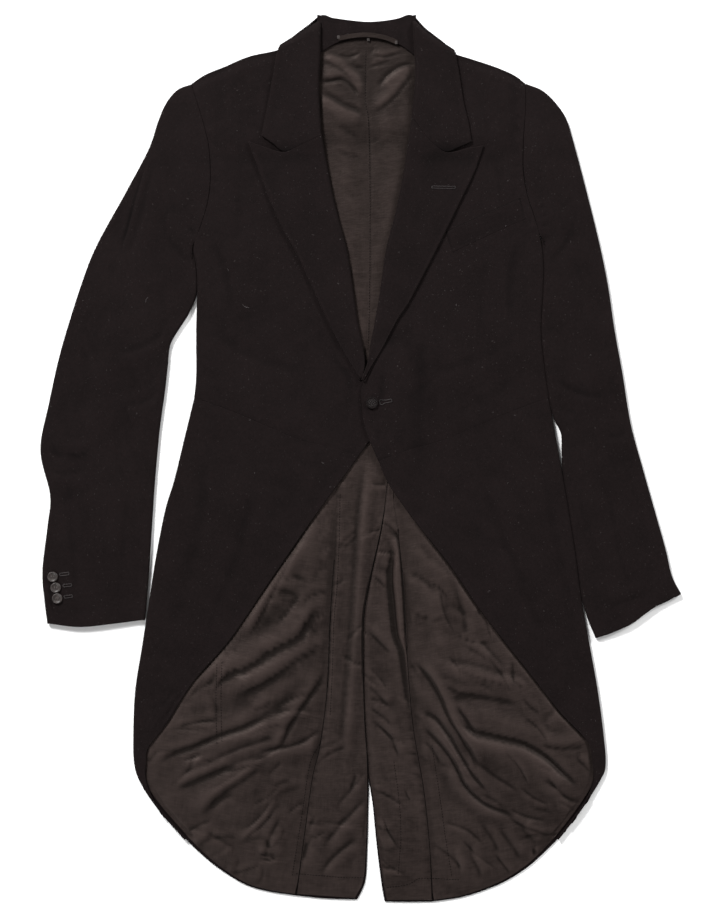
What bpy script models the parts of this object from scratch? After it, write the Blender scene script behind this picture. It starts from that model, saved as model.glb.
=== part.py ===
"""A black tailcoat with one button, laid flat on its back with the front up.

Every piece of cloth is a wall. Its outer face is a grid stretched between four edge lines
in plan, lifted by a height rule for its layer, and the Solidify modifier gives it its
thickness on the inner side. X runs to the wearer's left, Y to the collar, Z up from the
surface the coat lies on. Tables are in millimetres.
"""

import math

import bpy
import numpy as np

MM = 0.001

# Moves the coat so that the middle of its outline in plan is the origin
PLACE = (0.35, -1.05, 0.0)

# Thickness of each kind of cloth
WOOL = 1.6
CANVASSED = 2.6
LAPEL = 2.2
SATIN = 1.0
WELT = 0.9

# Gap left between two pieces at a seam
SEAM = 0.3

# Heights of the upper face of each layer above the floor
LINING_TOP = 3.0
FRONT_TOP = 6.5
SLEEVE_TOP = 5.8
SLEEVE_CROWN = 1.2

# The collar's back fall lies under the back and lifts the layers above it
COLLAR_FALL = 2.0
NECK_LIFT = 2.3
NECK_LIFT_END = (376.0, 408.0)
LINING_LEAD = 16.0
FRONT_LEAD = 34.0

# The left front buttons over the right one
OVERLAP_RISE = 2.7
OVERLAP_DIP = 0.3
OVERLAP_CENTRE = (10.0, 58.0)
OVERLAP_ACROSS = (24.0, 62.0)
OVERLAP_ALONG = (45.0, 90.0)

# Lapel and collar above the front they lie on, at the outer edge and at the roll
LAPEL_REST = 2.95
LAPEL_ROLL = 5.0
ROLL_REACH = 3.6
ROLL_LIP = 1.0

# Heights round the roll: lower faces of the lapel and the fall, how far the fall sinks at
# its upper end, the raised rim of the back fall, and the upper face of the stand
LAPEL_LOW = 4.1
FALL_LOW = 6.3
FALL_DROOP = 3.2
BACK_FALL_RISE = 4.6
STAND_HEIGHT = 7.6

# Side folds, and where the lining ends inside them
SIDE_REACH = 3.4
SIDE_JOIN = 3.4
LINING_SIDE = 5.2
LINING_INSET = 9.0
HEM_INSET = 2.5

# Shoulder line, where the forepart sinks to meet the back
SHOULDER_DROOP = 1.6
SHOULDER_DROOP_END = 0.03

# Sleeves: reach of the side folds and the lips they turn under
SLEEVE_REACH = 2.9
SLEEVE_LIP = 16.0

# Buttons
FRONT_BUTTON = 14.0
CUFF_BUTTON = 12.0
BUTTON_HEIGHT = 2.4
CUFF_REST = 6.35

# Each edge line below is a table with the columns x, y

# Wearer's right
ARMHOLE_R = ((-195.5, 431.6), (-188.0, 408.0), (-179.4, 378.9), (-174.8, 354.8),
             (-173.6, 321.4), (-177.1, 293.8), (-185.1, 267.4), (-193.2, 244.4))
SIDE_R = ((-193.2, 244.4), (-189.7, 222.5), (-188.6, 198.4), (-189.7, 148.9),
          (-189.7, 97.2), (-192.0, 70.7))
SHOULDER_R = ((-195.5, 431.6), (-179.4, 442.2), (-156.4, 451.4), (-127.6, 462.9),
              (-94.3, 470.4), (-73.6, 480.7), (-55.2, 492.5))
BACK_HEAD_R = ((-195.5, 431.6), (-179.4, 442.2), (-156.4, 451.4), (-127.6, 462.0),
               (-103.0, 466.0), (-80.0, 475.0), (-60.0, 490.0), (-44.0, 500.0),
               (-20.0, 499.0), (7.5, 497.0))
FRONT_R = ((-56.0, 492.5), (-53.2, 462.9), (-54.6, 422.6), (-51.6, 369.7), (-41.4, 314.5),
           (-32.3, 275.4), (-22.2, 235.2), (-10.6, 160.4), (-4.0, 125.9), (-1.2, 107.0),
           (6.0, 90.0), (31.0, 76.0), (27.6, 43.1), (10.3, 22.4), (-3.4, 4.0))
WAIST_R = ((-192.0, 70.7), (-150.6, 55.8), (-106.9, 37.4), (-70.1, 22.4), (-35.6, 14.4),
           (-3.4, 4.0))
BACK_SEAM_R = ((-173.6, 321.4), (-159.8, 269.7), (-129.9, 200.7), (-89.7, 131.7),
               (-49.4, 68.4), (-31.0, 22.4), (-28.7, -38.5), (-31.0, -115.6),
               (-35.6, -184.6), (-39.1, -265.1), (-47.1, -328.3), (-56.3, -368.6),
               (-65.5, -435.3), (-74.8, -502.0))
SKIRT_SIDE_R = ((-192.0, 70.7), (-202.4, 28.2), (-215.0, -23.6), (-225.4, -58.1),
                (-235.7, -109.8), (-243.8, -161.6), (-251.8, -213.3), (-259.9, -265.1),
                (-262.2, -316.8), (-261.0, -351.3), (-253.0, -374.3), (-233.4, -403.1),
                (-203.5, -437.6))
CUTAWAY_R = ((-3.4, 4.0), (-17.2, -15.5), (-36.8, -42.0), (-63.2, -78.8), (-103.5, -137.4),
             (-150.6, -206.4), (-194.3, -257.0), (-223.1, -303.0), (-245.2, -331.8),
             (-247.0, -351.0), (-244.2, -369.6), (-227.3, -397.9), (-197.4, -432.4))
HEM_R = ((-203.5, -437.6), (-185.1, -454.8), (-163.3, -472.1), (-134.5, -489.3),
         (-106.9, -497.4), (-74.8, -502.0))
TAIL_HEM_R = ((-74.8, -502.0), (-41.4, -505.4), (-4.6, -506.6))
VENT_R = ((8.0, -357.1), (8.0, -408.8), (6.9, -449.1), (4.6, -485.9), (-4.6, -506.6))

# Wearer's left
ARMHOLE_L = ((189.6, 432.4), (189.5, 402.0), (187.6, 372.4), (187.0, 350.0), (187.4, 330.6),
             (192.0, 303.0), (200.1, 277.7), (207.0, 252.4))
SIDE_L = ((207.0, 252.4), (210.2, 225.0), (209.4, 190.0), (207.2, 150.0), (210.4, 112.1),
          (216.2, 70.7))
SHOULDER_L = ((189.6, 432.4), (175.9, 442.2), (152.9, 451.4), (125.3, 460.3),
              (108.1, 465.8), (89.7, 475.4), (69.0, 492.5))
BACK_HEAD_L = ((189.6, 432.4), (175.9, 442.2), (152.9, 451.4), (125.3, 460.3),
               (108.0, 461.5), (92.0, 470.0), (74.0, 484.0), (57.0, 499.0),
               (32.0, 499.0), (7.5, 497.0))
FRONT_L = ((70.0, 492.5), (68.8, 444.5), (64.6, 388.1), (57.6, 341.0), (47.2, 286.9),
           (35.8, 242.1), (27.4, 185.7), (18.0, 137.4), (12.4, 109.0), (3.4, 88.0),
           (1.1, 78.8),
           (2.3, 58.1), (4.6, 40.8), (10.3, 22.4), (20.7, -1.7))
WAIST_L = ((216.2, 70.7), (175.9, 55.8), (132.2, 37.4), (95.4, 22.4), (58.6, 12.1),
           (20.7, -1.7))
BACK_SEAM_L = ((187.4, 330.6), (175.9, 269.7), (146.0, 200.7), (105.8, 131.7),
               (65.5, 68.4), (42.5, 22.4), (37.9, -39.7), (42.5, -79.9), (49.4, -152.4),
               (52.9, -223.7), (59.8, -305.3), (72.4, -381.2), (79.3, -449.1),
               (82.8, -508.9))
SKIRT_SIDE_L = ((216.2, 70.7), (224.2, 28.2), (232.3, -17.8), (239.2, -58.1),
                (247.2, -109.8), (254.1, -161.6), (263.3, -213.3), (272.5, -265.1),
                (279.4, -316.8), (281.8, -351.3), (276.0, -368.6), (254.1, -403.1),
                (227.7, -437.6))
CUTAWAY_L = ((20.7, -1.7), (31.0, -25.9), (58.6, -66.1), (102.3, -121.3),
             (135.7, -170.8), (162.1, -205.3), (193.2, -244.4), (230.0, -291.5),
             (261.0, -324.9), (265.8, -351.3), (263.5, -372.0), (247.7, -398.3), (221.3, -432.8))
HEM_L = ((227.7, -437.6), (210.4, -454.8), (189.7, -472.1), (159.8, -489.3),
         (119.6, -503.1), (82.8, -508.9))
TAIL_HEM_L = ((82.8, -508.9), (56.3, -509.4), (27.6, -508.9))
VENT_L = ((8.6, -357.1), (13.8, -397.3), (18.4, -443.3), (24.1, -489.3), (27.6, -508.9))

# Upper edge of the back lining
LINING_HEAD_R = ((-180.0, 399.0), (-150.0, 426.0), (-95.0, 446.0), (-45.0, 462.0),
                 (7.35, 474.0))
LINING_HEAD_L = ((178.0, 396.0), (150.0, 424.0), (105.0, 442.0), (60.0, 460.0),
                 (7.65, 474.0))

# Centre back from the neck seam to the foot of the closed part of the vent
CENTRE = ((7.5, 497.0), (6.9, 390.4), (9.2, 298.4), (9.2, 206.4), (9.2, 107.5),
          (21.8, 33.9), (31.0, -21.3), (24.1, -74.2), (8.0, -147.8), (2.3, -194.9),
          (3.4, -285.8), (8.0, -357.1))

# Rows of the back panels along the centre, in Y, without the last one at the hem
BACK_ROWS = (497.0, 468.0, 432.0, 395.0, 345.0, 269.7, 200.7, 131.7, 68.4, 22.4, -39.0,
             -98.0, -168.0, -245.0, -317.0, -375.0, -442.0)

# Lapels and collar
ROLL_R = ((-44.9, 369.7), (-34.5, 314.5), (-25.3, 275.4), (-15.0, 235.2), (-4.0, 160.4),
          (2.0, 131.7), (4.6, 112.0))
LAPEL_EDGE_R = ((-128.8, 364.5), (-116.2, 330.6), (-103.5, 296.1), (-88.6, 262.8),
                (-70.1, 229.4), (-35.6, 154.7), (-20.7, 125.9), (-1.0, 92.5))
GORGE_R = ((-128.8, 364.5), (-112.0, 359.0), (-86.3, 353.0), (-64.0, 361.5), (-44.9, 369.7))
ROLL_L = ((57.5, 388.1), (50.6, 341.0), (40.3, 286.9), (28.8, 242.1), (20.7, 185.7),
          (11.6, 137.4), (7.6, 112.0))
LAPEL_EDGE_L = ((140.3, 360.0), (129.9, 330.6), (116.2, 301.9), (95.4, 259.3),
                (57.5, 185.7), (41.4, 160.4), (23.0, 125.9), (10.6, 101.0))
GORGE_L = ((140.3, 360.0), (122.0, 357.0), (95.4, 353.0), (76.0, 366.0), (57.5, 388.1))
FALL_ROLL_R = ((-46.0, 503.0), (-46.6, 462.9), (-48.0, 422.6), (-45.2, 371.2))
FALL_EDGE_R = ((-93.2, 476.5), (-97.0, 464.0), (-100.1, 443.3), (-105.8, 411.1),
               (-113.8, 371.9))
FALL_TOP_R = ((-93.2, 476.5), (-75.0, 490.0), (-60.0, 501.0), (-46.0, 511.0))
FALL_FOOT_R = ((-113.8, 371.9), (-100.0, 362.5), (-86.3, 355.4), (-64.0, 363.5),
               (-45.2, 371.2))
FALL_ROLL_L = ((59.0, 503.0), (62.1, 443.0), (58.5, 400.0), (57.8, 389.8))
FALL_EDGE_L = ((107.5, 470.5), (112.7, 440.5), (117.3, 411.1), (123.1, 386.0),
               (126.5, 365.0))
FALL_TOP_L = ((107.5, 470.5), (94.0, 481.0), (74.0, 496.0), (59.0, 511.0))
FALL_FOOT_L = ((126.5, 365.0), (112.0, 357.6), (95.4, 355.4), (76.4, 368.4),
               (57.8, 389.8))
STAND_TOP = ((-45.0, 511.0), (-30.0, 507.0), (8.0, 502.9), (40.0, 506.0), (58.0, 511.0))
STAND_FOOT = ((-44.0, 466.0), (-25.0, 480.0), (8.0, 484.5), (40.0, 479.0), (57.0, 464.0))
BACK_FALL_TOP = ((-95.5, 473.0), (-75.0, 489.5), (-60.0, 500.5), (-45.0, 511.5),
                 (-28.0, 507.0), (8.0, 503.0), (40.0, 507.0), (58.0, 511.5),
                 (74.0, 496.5), (94.0, 481.0), (109.5, 468.0))
BACK_FALL_FOOT = ((-99.0, 440.0), (-60.0, 434.0), (8.0, 431.0), (75.0, 434.0),
                  (113.0, 438.0))

# Sleeves
SLEEVE_OUT_R = ((-197.3, 431.0), (-211.5, 425.5), (-224.5, 410.0), (-234.0, 388.0),
                (-245.0, 356.0), (-272.6, 304.2), (-301.3, 252.4), (-316.3, 217.9),
                (-333.5, 166.2), (-347.5, 118.0), (-359.0, 66.0), (-369.2, 10.9),
                (-358.0, -40.8), (-360.8, -75.3), (-366.8, -127.1), (-364.6, -161.6),
                (-361.0, -189.0))
SLEEVE_IN_R = ((-193.6, 244.0), (-190.3, 222.5), (-189.3, 198.4), (-191.5, 183.0),
               (-199.0, 166.2), (-210.0, 149.0), (-219.5, 131.7), (-222.5, 106.0),
               (-225.4, 80.0), (-229.0, 54.0), (-232.3, 28.2), (-236.9, -23.6),
               (-240.4, -75.3), (-242.2, -103.0), (-243.6, -127.1), (-246.4, -161.6),
               (-248.4, -184.6))
CUFF_R = ((-361.0, -189.0), (-326.0, -192.6), (-290.0, -189.6), (-248.4, -184.6))
SLEEVE_IN_L = ((208.0, 252.0), (210.8, 225.0), (210.0, 190.0), (207.8, 150.0),
               (211.0, 112.1), (216.9, 70.7), (222.6, 47.0), (231.0, 30.0),
               (231.8, 6.0), (233.2, -17.8), (239.8, -58.1), (243.8, -84.0),
               (247.9, -109.8), (251.4, -136.0), (254.9, -161.6), (260.5, -182.3),
               (270.0, -205.5))
SLEEVE_OUT_L = ((192.4, 431.2), (209.3, 424.5), (225.4, 409.0), (236.9, 391.0),
                (245.0, 364.5), (256.5, 321.4), (273.7, 252.4), (284.3, 201.2),
                (292.0, 149.5), (301.3, 97.8), (310.5, 41.4), (324.5, -10.4),
                (338.0, -58.1), (350.8, -103.5), (358.0, -134.0), (368.5, -154.5))
CUFF_L = ((368.5, -154.5), (340.0, -168.0), (312.8, -187.0), (290.0, -198.5),
          (270.0, -205.5))

# Where the main folds of the lining stand up
# x, y at the start, the middle and the end; half width; height
LINING_FOLDS_R = (
    (-176.0, -236.0, -118.0, -210.0, -40.0, -166.0, 9.0, 2.2),
    (-172.0, -272.0, -108.0, -245.0, -42.0, -212.0, 10.0, 3.4),
    (-140.0, -300.0, -92.0, -264.0, -46.0, -232.0, 9.0, 2.6),
    (-160.0, -325.0, -112.0, -309.0, -56.0, -282.0, 9.0, 2.8),
    (-205.0, -368.0, -156.0, -340.0, -92.0, -318.0, 9.0, 3.0),
    (-190.0, -394.0, -150.0, -372.0, -108.0, -344.0, 10.0, 2.4),
)
LINING_FOLDS_L = (
    (62.0, -262.0, 98.0, -290.0, 132.0, -344.0, 9.0, 3.0),
    (70.0, -300.0, 108.0, -333.0, 160.0, -392.0, 9.0, 3.2),
    (108.0, -286.0, 166.0, -300.0, 230.0, -326.0, 10.0, 3.0),
    (118.0, -322.0, 176.0, -345.0, 222.0, -378.0, 10.0, 2.6),
    (88.0, -236.0, 150.0, -240.0, 204.0, -258.0, 9.0, 2.2),
)

# Cuff buttons on the right sleeve, from the top one down: x, y
CUFF_BUTTONS = ((-354.4, -135.0), (-350.8, -147.4), (-349.1, -159.8))
FRONT_BUTTON_AT = (12.7, 65.0)

# Upper and lower line of the breast pocket welt on the left front: x, y
WELT_TOP = ((97.6, 260.9), (140.0, 280.5), (182.9, 299.6))
WELT_FOOT = ((105.0, 238.2), (147.0, 258.0), (189.5, 277.0))

# Hanger loop at the back neck: its width, and its middle line in x, y
LOOP_WIDTH = 5.0
LOOP_LINE = ((-26.0, 483.5), (-10.0, 486.5), (8.0, 487.6), (26.0, 485.0), (41.0, 479.5))


def begin():
    """Empty the scene and make the collection of parts."""
    for thing in list(bpy.data.objects):
        bpy.data.objects.remove(thing, do_unlink=True)
    parts = bpy.data.collections.new("white_tie_tailcoat")
    bpy.context.scene.collection.children.link(parts)
    return parts


def cloth(name, colour, roughness, sheen=0.0):
    """A Principled material in one colour."""
    made = bpy.data.materials.new(name)
    made.use_nodes = True
    shader = made.node_tree.nodes["Principled BSDF"]
    shader.inputs["Base Color"].default_value = (*colour, 1.0)
    shader.inputs["Roughness"].default_value = roughness
    shader.inputs["Sheen Weight"].default_value = sheen
    made.diffuse_color = (*colour, 1.0)
    return made


def step(value, low, high):
    """Rise smoothly from 0 at low to 1 at high."""
    part = np.clip((value - low) / (high - low), 0.0, 1.0)
    return part * part * (3.0 - 2.0 * part)


def even(count):
    """Evenly spaced fractions from 0 to 1."""
    return np.linspace(0.0, 1.0, count)


def lengths(line):
    """Fraction of a line's length at each of its points."""
    run = np.concatenate([[0.0], np.cumsum(np.hypot(*np.diff(line, axis=0).T))])
    return run / run[-1]


def smooth(points, at):
    """Points at fractions of the length of a smooth line through the table."""
    knots = np.asarray(points, float)
    ends = np.vstack([2 * knots[0] - knots[1], knots, 2 * knots[-1] - knots[-2]])
    part = np.linspace(0.0, 1.0, 12, endpoint=False)[:, None]
    runs = []
    for a, b, c, d in zip(ends[:-3], ends[1:-2], ends[2:-1], ends[3:]):
        runs.append(0.5 * (2 * b + (c - a) * part + (2 * a - 5 * b + 4 * c - d) * part ** 2
                           + (3 * b - a - 3 * c + d) * part ** 3))
    fine = np.vstack(runs + [knots[-1:]])
    where = lengths(fine)
    return np.stack([np.interp(at, where, fine[:, k]) for k in (0, 1)], axis=1)


def pieced(points, at):
    """Points on the straight runs of a table; at counts its rows, 1.5 is halfway on."""
    knots = np.asarray(points, float)
    rows = np.arange(len(knots))
    return np.stack([np.interp(at, rows, knots[:, k]) for k in (0, 1)], axis=1)


def at_heights(points, heights):
    """Points where the straight runs of a falling table cross the given heights in Y."""
    knots = np.asarray(points, float)[::-1]
    heights = np.asarray(heights, float)
    return np.stack([np.interp(heights, knots[:, 1], knots[:, 0]), heights], axis=1)


def sideways(line, by):
    """A copy of a line moved along X."""
    return np.asarray(line, float) + np.array([by, 0.0])


def inward(line, other):
    """Unit directions in plan square to a line and pointing to the other line."""
    along = np.gradient(line, axis=0)
    along /= np.linalg.norm(along, axis=1)[:, None]
    square = np.stack([-along[:, 1], along[:, 0]], axis=1)
    toward = np.sum(square * (other - line))
    return square * (-1.0 if toward < 0.0 else 1.0)


def bulge(line, start, end, across):
    """How far a head or foot line lies from the straight line between its ends."""
    away = line - (1 - across)[:, None] * start - across[:, None] * end
    away[[0, -1]] = 0.0
    return away


def stretch(left, right, head, foot, across, down, fading):
    """A grid in plan: straight across from side to side, with the bulges of the head and
    the foot fading away from them."""
    u = across[None, :, None]
    v = down[:, None, None]
    sides = (1 - u) * left[:, None] + u * right[:, None]
    return sides + (1 - v) ** fading * head + v ** fading * foot


def turned(direction, rim, shape):
    """Columns that carry the outer face round an edge: an arc, then a lip under it.

    The shape gives the reach of the arc in plan, its angle, the height where it ends, the
    length of the lip and the number of steps in the arc. After a quarter turn the lip goes
    on straight up or down, after a half turn it lies under the edge."""
    reach, degrees, low, lip, steps = shape
    quarter = degrees < 120.0
    end = low + lip if quarter else low
    tall = (rim[:, 2] - end) / (1.0 - math.cos(math.radians(degrees)))
    columns = []
    for angle in np.radians(np.linspace(0.0, degrees, steps + 1))[1:]:
        plan = rim[:, :2] - direction * reach * math.sin(angle)
        high = rim[:, 2] - tall * (1.0 - math.cos(angle))
        columns.append(np.column_stack([plan, high]))
    if np.any(lip):
        aside = -reach if quarter else lip
        plan = rim[:, :2] + direction * np.reshape(aside, (-1, 1))
        columns.append(np.column_stack([plan, low + np.zeros(len(rim))]))
    return columns


def panel(left, right, head, foot, height, left_turn=None, right_turn=None, down=None,
          fading=1.0):
    """The outer face of one piece as rows of points.

    left and right are points from head to foot, head and foot points from left to right.
    The height rule gets x, y and the fractions across and down. A turn at a side takes its
    reach out of the piece, so that the outline stays on the edge line."""
    across = lengths(head)
    if down is None:
        down = lengths(left)
    away = [inward(left, right), inward(right, left)]
    rims = [line + direction * (shape[0] if shape else 0.0) for line, direction, shape
            in zip((left, right), away, (left_turn, right_turn))]
    plan = stretch(*rims, bulge(head, left[0], right[0], across),
                   bulge(foot, left[-1], right[-1], across), across, down, fading)
    high = height(plan[..., 0], plan[..., 1], across[None, :], down[:, None])
    grid = np.dstack([plan, high + np.zeros(plan.shape[:2])])
    parts = [grid]
    if left_turn:
        parts.insert(0, np.stack(turned(away[0], grid[:, 0], left_turn)[::-1], axis=1))
    if right_turn:
        parts.append(np.stack(turned(away[1], grid[:, -1], right_turn), axis=1))
    return np.concatenate(parts, axis=1)


def shell(name, grid, thickness, material, parts, face=1.0, at=None):
    """A closed wall whose outer face is the grid.

    face is 1 where that face looks up and -1 where it looks down, at the grid's row and
    column given by at, or at its middle."""
    rows, columns = grid.shape[:2]
    index = np.arange(rows * columns).reshape(rows, columns)
    quads = np.stack([index[:-1, :-1], index[:-1, 1:], index[1:, 1:], index[1:, :-1]],
                     axis=-1).reshape(-1, 4)
    row, column = at or (rows // 2, columns // 2)
    a = grid[row, column] - grid[row, column - 1]
    b = grid[row, column] - grid[row - 1, column]
    if (a[0] * b[1] - a[1] * b[0]) * face < 0:
        quads = quads[:, ::-1]
    mesh = bpy.data.meshes.new(name)
    mesh.from_pydata(((grid.reshape(-1, 3) + PLACE) * MM).tolist(), [], quads.tolist())
    mesh.materials.append(material)
    made = bpy.data.objects.new(name, mesh)
    parts.objects.link(made)
    wall = made.modifiers.new("cloth thickness", "SOLIDIFY")
    wall.thickness = thickness * MM
    wall.offset = -1.0
    wall.use_even_offset = False
    return made


def neck_lift(x, y, lead):
    """How far the collar's back fall lifts a layer at the neck.

    lead is how much further out the slope lies for this layer than for the back."""
    near = 1.0 - step(np.abs(x - 7.0), 112.0 + lead, 140.0 + lead)
    return NECK_LIFT * step(y, NECK_LIFT_END[0] - lead, NECK_LIFT_END[1] - lead) * near


def front_height(x, y):
    """Upper face of the fronts without the buttoning."""
    chest = np.exp(-((np.abs(x - 7.0) - 105.0) / 55.0) ** 2 - ((y - 215.0) / 90.0) ** 2)
    sinking = 0.6 * step(-y, 60.0, 320.0)
    return FRONT_TOP + 0.8 * chest + neck_lift(x, y, FRONT_LEAD) - sinking


def overlap(x, y):
    """1 at the buttoned part of the fronts, falling to 0 around it."""
    beside = 1.0 - step(np.abs(x - OVERLAP_CENTRE[0]), *OVERLAP_ACROSS)
    along = 1.0 - step(np.abs(y - OVERLAP_CENTRE[1]), *OVERLAP_ALONG)
    return beside * along


def right_front(x, y):
    """Upper face of the right forepart, which lies below at the button."""
    return front_height(x, y) - OVERLAP_DIP * overlap(x, y)


def left_front(x, y):
    """Upper face of the left forepart, which lies over the right one."""
    return front_height(x, y) + OVERLAP_RISE * overlap(x, y)


def on_floor(x, y, across, down):
    """The underside that rests on the floor."""
    return np.zeros(np.broadcast(x, y).shape)


def fold_height(x, y, folds):
    """Height of the raised folds at x, y: each a soft ridge along a bent line."""
    total = np.zeros(np.broadcast(x, y).shape)
    part = np.linspace(0.0, 1.0, 25)
    fading = np.sin(np.pi * np.clip(part, 0.08, 0.92)) ** 0.5
    for x0, y0, x1, y1, x2, y2, wide, tall in folds:
        line_x = (1 - part) ** 2 * x0 + 2 * part * (1 - part) * x1 + part ** 2 * x2
        line_y = (1 - part) ** 2 * y0 + 2 * part * (1 - part) * y1 + part ** 2 * y2
        away = np.hypot(x[..., None] - line_x, y[..., None] - line_y)
        total = np.maximum(total, np.max(tall * fading * np.exp(-(away / wide) ** 2), axis=-1))
    return total


def build_back(label, side, edges, wool, satin, parts):
    """Back with its tail, its lining, and the side body, all lying flat."""
    inner = at_heights(CENTRE + edges["vent"][1:], BACK_ROWS + (edges["vent"][-1][1],))
    outer = pieced(edges["armhole"][:5] + edges["back_seam"][1:], np.arange(18))
    half = side * SEAM / 2

    def over_fall(x, y, across, down):
        return neck_lift(x, y, 0.0)
    grid = panel(sideways(outer, -half), sideways(inner, half), smooth(edges["back_head"], even(8)),
                 smooth(edges["tail_hem"], even(8)), over_fall, fading=4.0)
    shell("back_" + label, grid, WOOL, wool, parts, face=-1.0)

    def lining(x, y, across, down):
        return LINING_TOP + neck_lift(x, y, LINING_LEAD)
    away = inward(outer, inner)
    deep = np.where(np.arange(18) < 5, LINING_INSET, 0.0)[:, None]
    lined = sideways(outer + away * deep, -half)
    lined[0] = edges["lining_head"][0]
    lined[1:3] = lined[0] + np.array([[1.0 / 3.0], [2.0 / 3.0]]) * (lined[3] - lined[0])
    lined[-1] += (-side * 1.5, HEM_INSET)
    kept = sideways(inner, half)
    kept[0] = edges["lining_head"][-1]
    kept[15:] += (side * 1.5, 0.0)
    kept[-1] += (side * 1.0, HEM_INSET)
    grid = panel(lined, kept, smooth(edges["lining_head"], even(6)),
                 np.linspace(lined[-1], kept[-1], 6), lining, fading=4.0)
    shell("back_lining_" + label, grid, SATIN, satin, parts)

    seam = pieced(edges["back_seam"], np.arange(6))
    seam = sideways(seam, half)
    fold = pieced(edges["side"], np.arange(6))
    head = pieced(edges["armhole"][:3:-1], np.arange(4))
    grid = panel(fold, seam, head, np.linspace(fold[-1], seam[-1], 4), on_floor,
                 left_turn=(SIDE_REACH, 90.0, SIDE_JOIN - SEAM, -0.6, 3))
    shell("side_body_" + label, grid, WOOL, wool, parts, face=-1.0)


def build_front(label, side, edges, high, wool, satin, parts):
    """Forepart, skirt and skirt lining."""
    rows = np.concatenate([[0.0, 0.25, 0.5], np.arange(1.0, 8.0), np.arange(7.5, 12.6, 0.5)])
    outer = pieced(edges["armhole"] + edges["side"][1:], np.unique(rows.clip(0.0, 12.0)))
    rows = lengths(outer)
    waist = smooth(edges["waist"], even(8))

    def drooping(down):
        return SHOULDER_DROOP * (1.0 - step(down, 0.0, SHOULDER_DROOP_END))

    def forepart(x, y, across, down):
        return high(x, y) - drooping(down)
    join = SIDE_JOIN - 0.95 * drooping(rows)
    grid = panel(outer, smooth(edges["front"], rows), smooth(edges["shoulder"], even(8)), waist,
                 forepart, left_turn=(SIDE_REACH, 90.0, join, 0.6, 3))
    shell("forepart_" + label, grid, CANVASSED, wool, parts)

    def skirt(x, y, across, down):
        return high(x, y)
    seam = edges["back_seam"][5:]
    turns = np.concatenate([np.arange(0.0, 5.6, 0.5), np.arange(6.0, 8.1, 0.25)])
    rear = sideways(pieced(seam, turns), side * SEAM / 2)
    fold = smooth(edges["skirt_side"], lengths(rear))
    cut = smooth(edges["cutaway"], lengths(fold))
    fold[0] -= (0.0, SEAM)
    cut[0] -= (0.0, SEAM)
    lower = waist - (0.0, SEAM)
    foot = np.linspace(fold[-1], cut[-1], 8)
    grid = panel(fold, cut, lower, foot, skirt,
                 left_turn=(SIDE_REACH, 180.0, 0.0, 0.0, 4))
    under_head = np.linspace(fold[0], rear[0], 6) - (0.0, SEAM)
    hem = smooth(edges["hem"], even(6))
    hem += np.linspace(0.0, 1.0, 6)[:, None] * (rear[-1] - hem[-1])
    under = panel(fold + inward(fold, rear) * SIDE_REACH, rear, under_head, hem, on_floor)
    grid = np.concatenate([under[:, :0:-1], grid], axis=1)
    shell("skirt_" + label, grid, WOOL, wool, parts, at=(8, grid.shape[1] - 4))

    def pleated(x, y, across, down):
        hold = step(across, 0.0, 0.1) * (1.0 - step(across, 0.93, 1.0)) * step(down, 0.0, 0.2)
        return LINING_TOP + fold_height(x, y, edges["folds"]) * hold
    turns = np.concatenate([np.arange(0.0, 4.0), np.arange(4.0, 6.0, 0.5),
                            np.arange(6.0, 8.1, 0.25)])
    rear = sideways(pieced(seam, turns), side * SEAM / 2)
    rear[-1] += (side * 1.5, HEM_INSET)
    fold = smooth(edges["skirt_side"], lengths(rear))
    fold = fold + inward(fold, rear) * LINING_SIDE
    fold[0] -= (0.0, 4.0)
    rear[0] -= (0.0, 4.0)
    hem = smooth(edges["hem"], even(11))
    hem = hem + inward(hem, hem + (0.0, 1.0)) * np.linspace(LINING_SIDE, HEM_INSET, 11)[:, None]
    grid = panel(fold, rear, np.linspace(fold[0], rear[0], 11), hem, pleated, fading=3.0)
    shell("skirt_lining_" + label, grid, SATIN, satin, parts)


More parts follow.
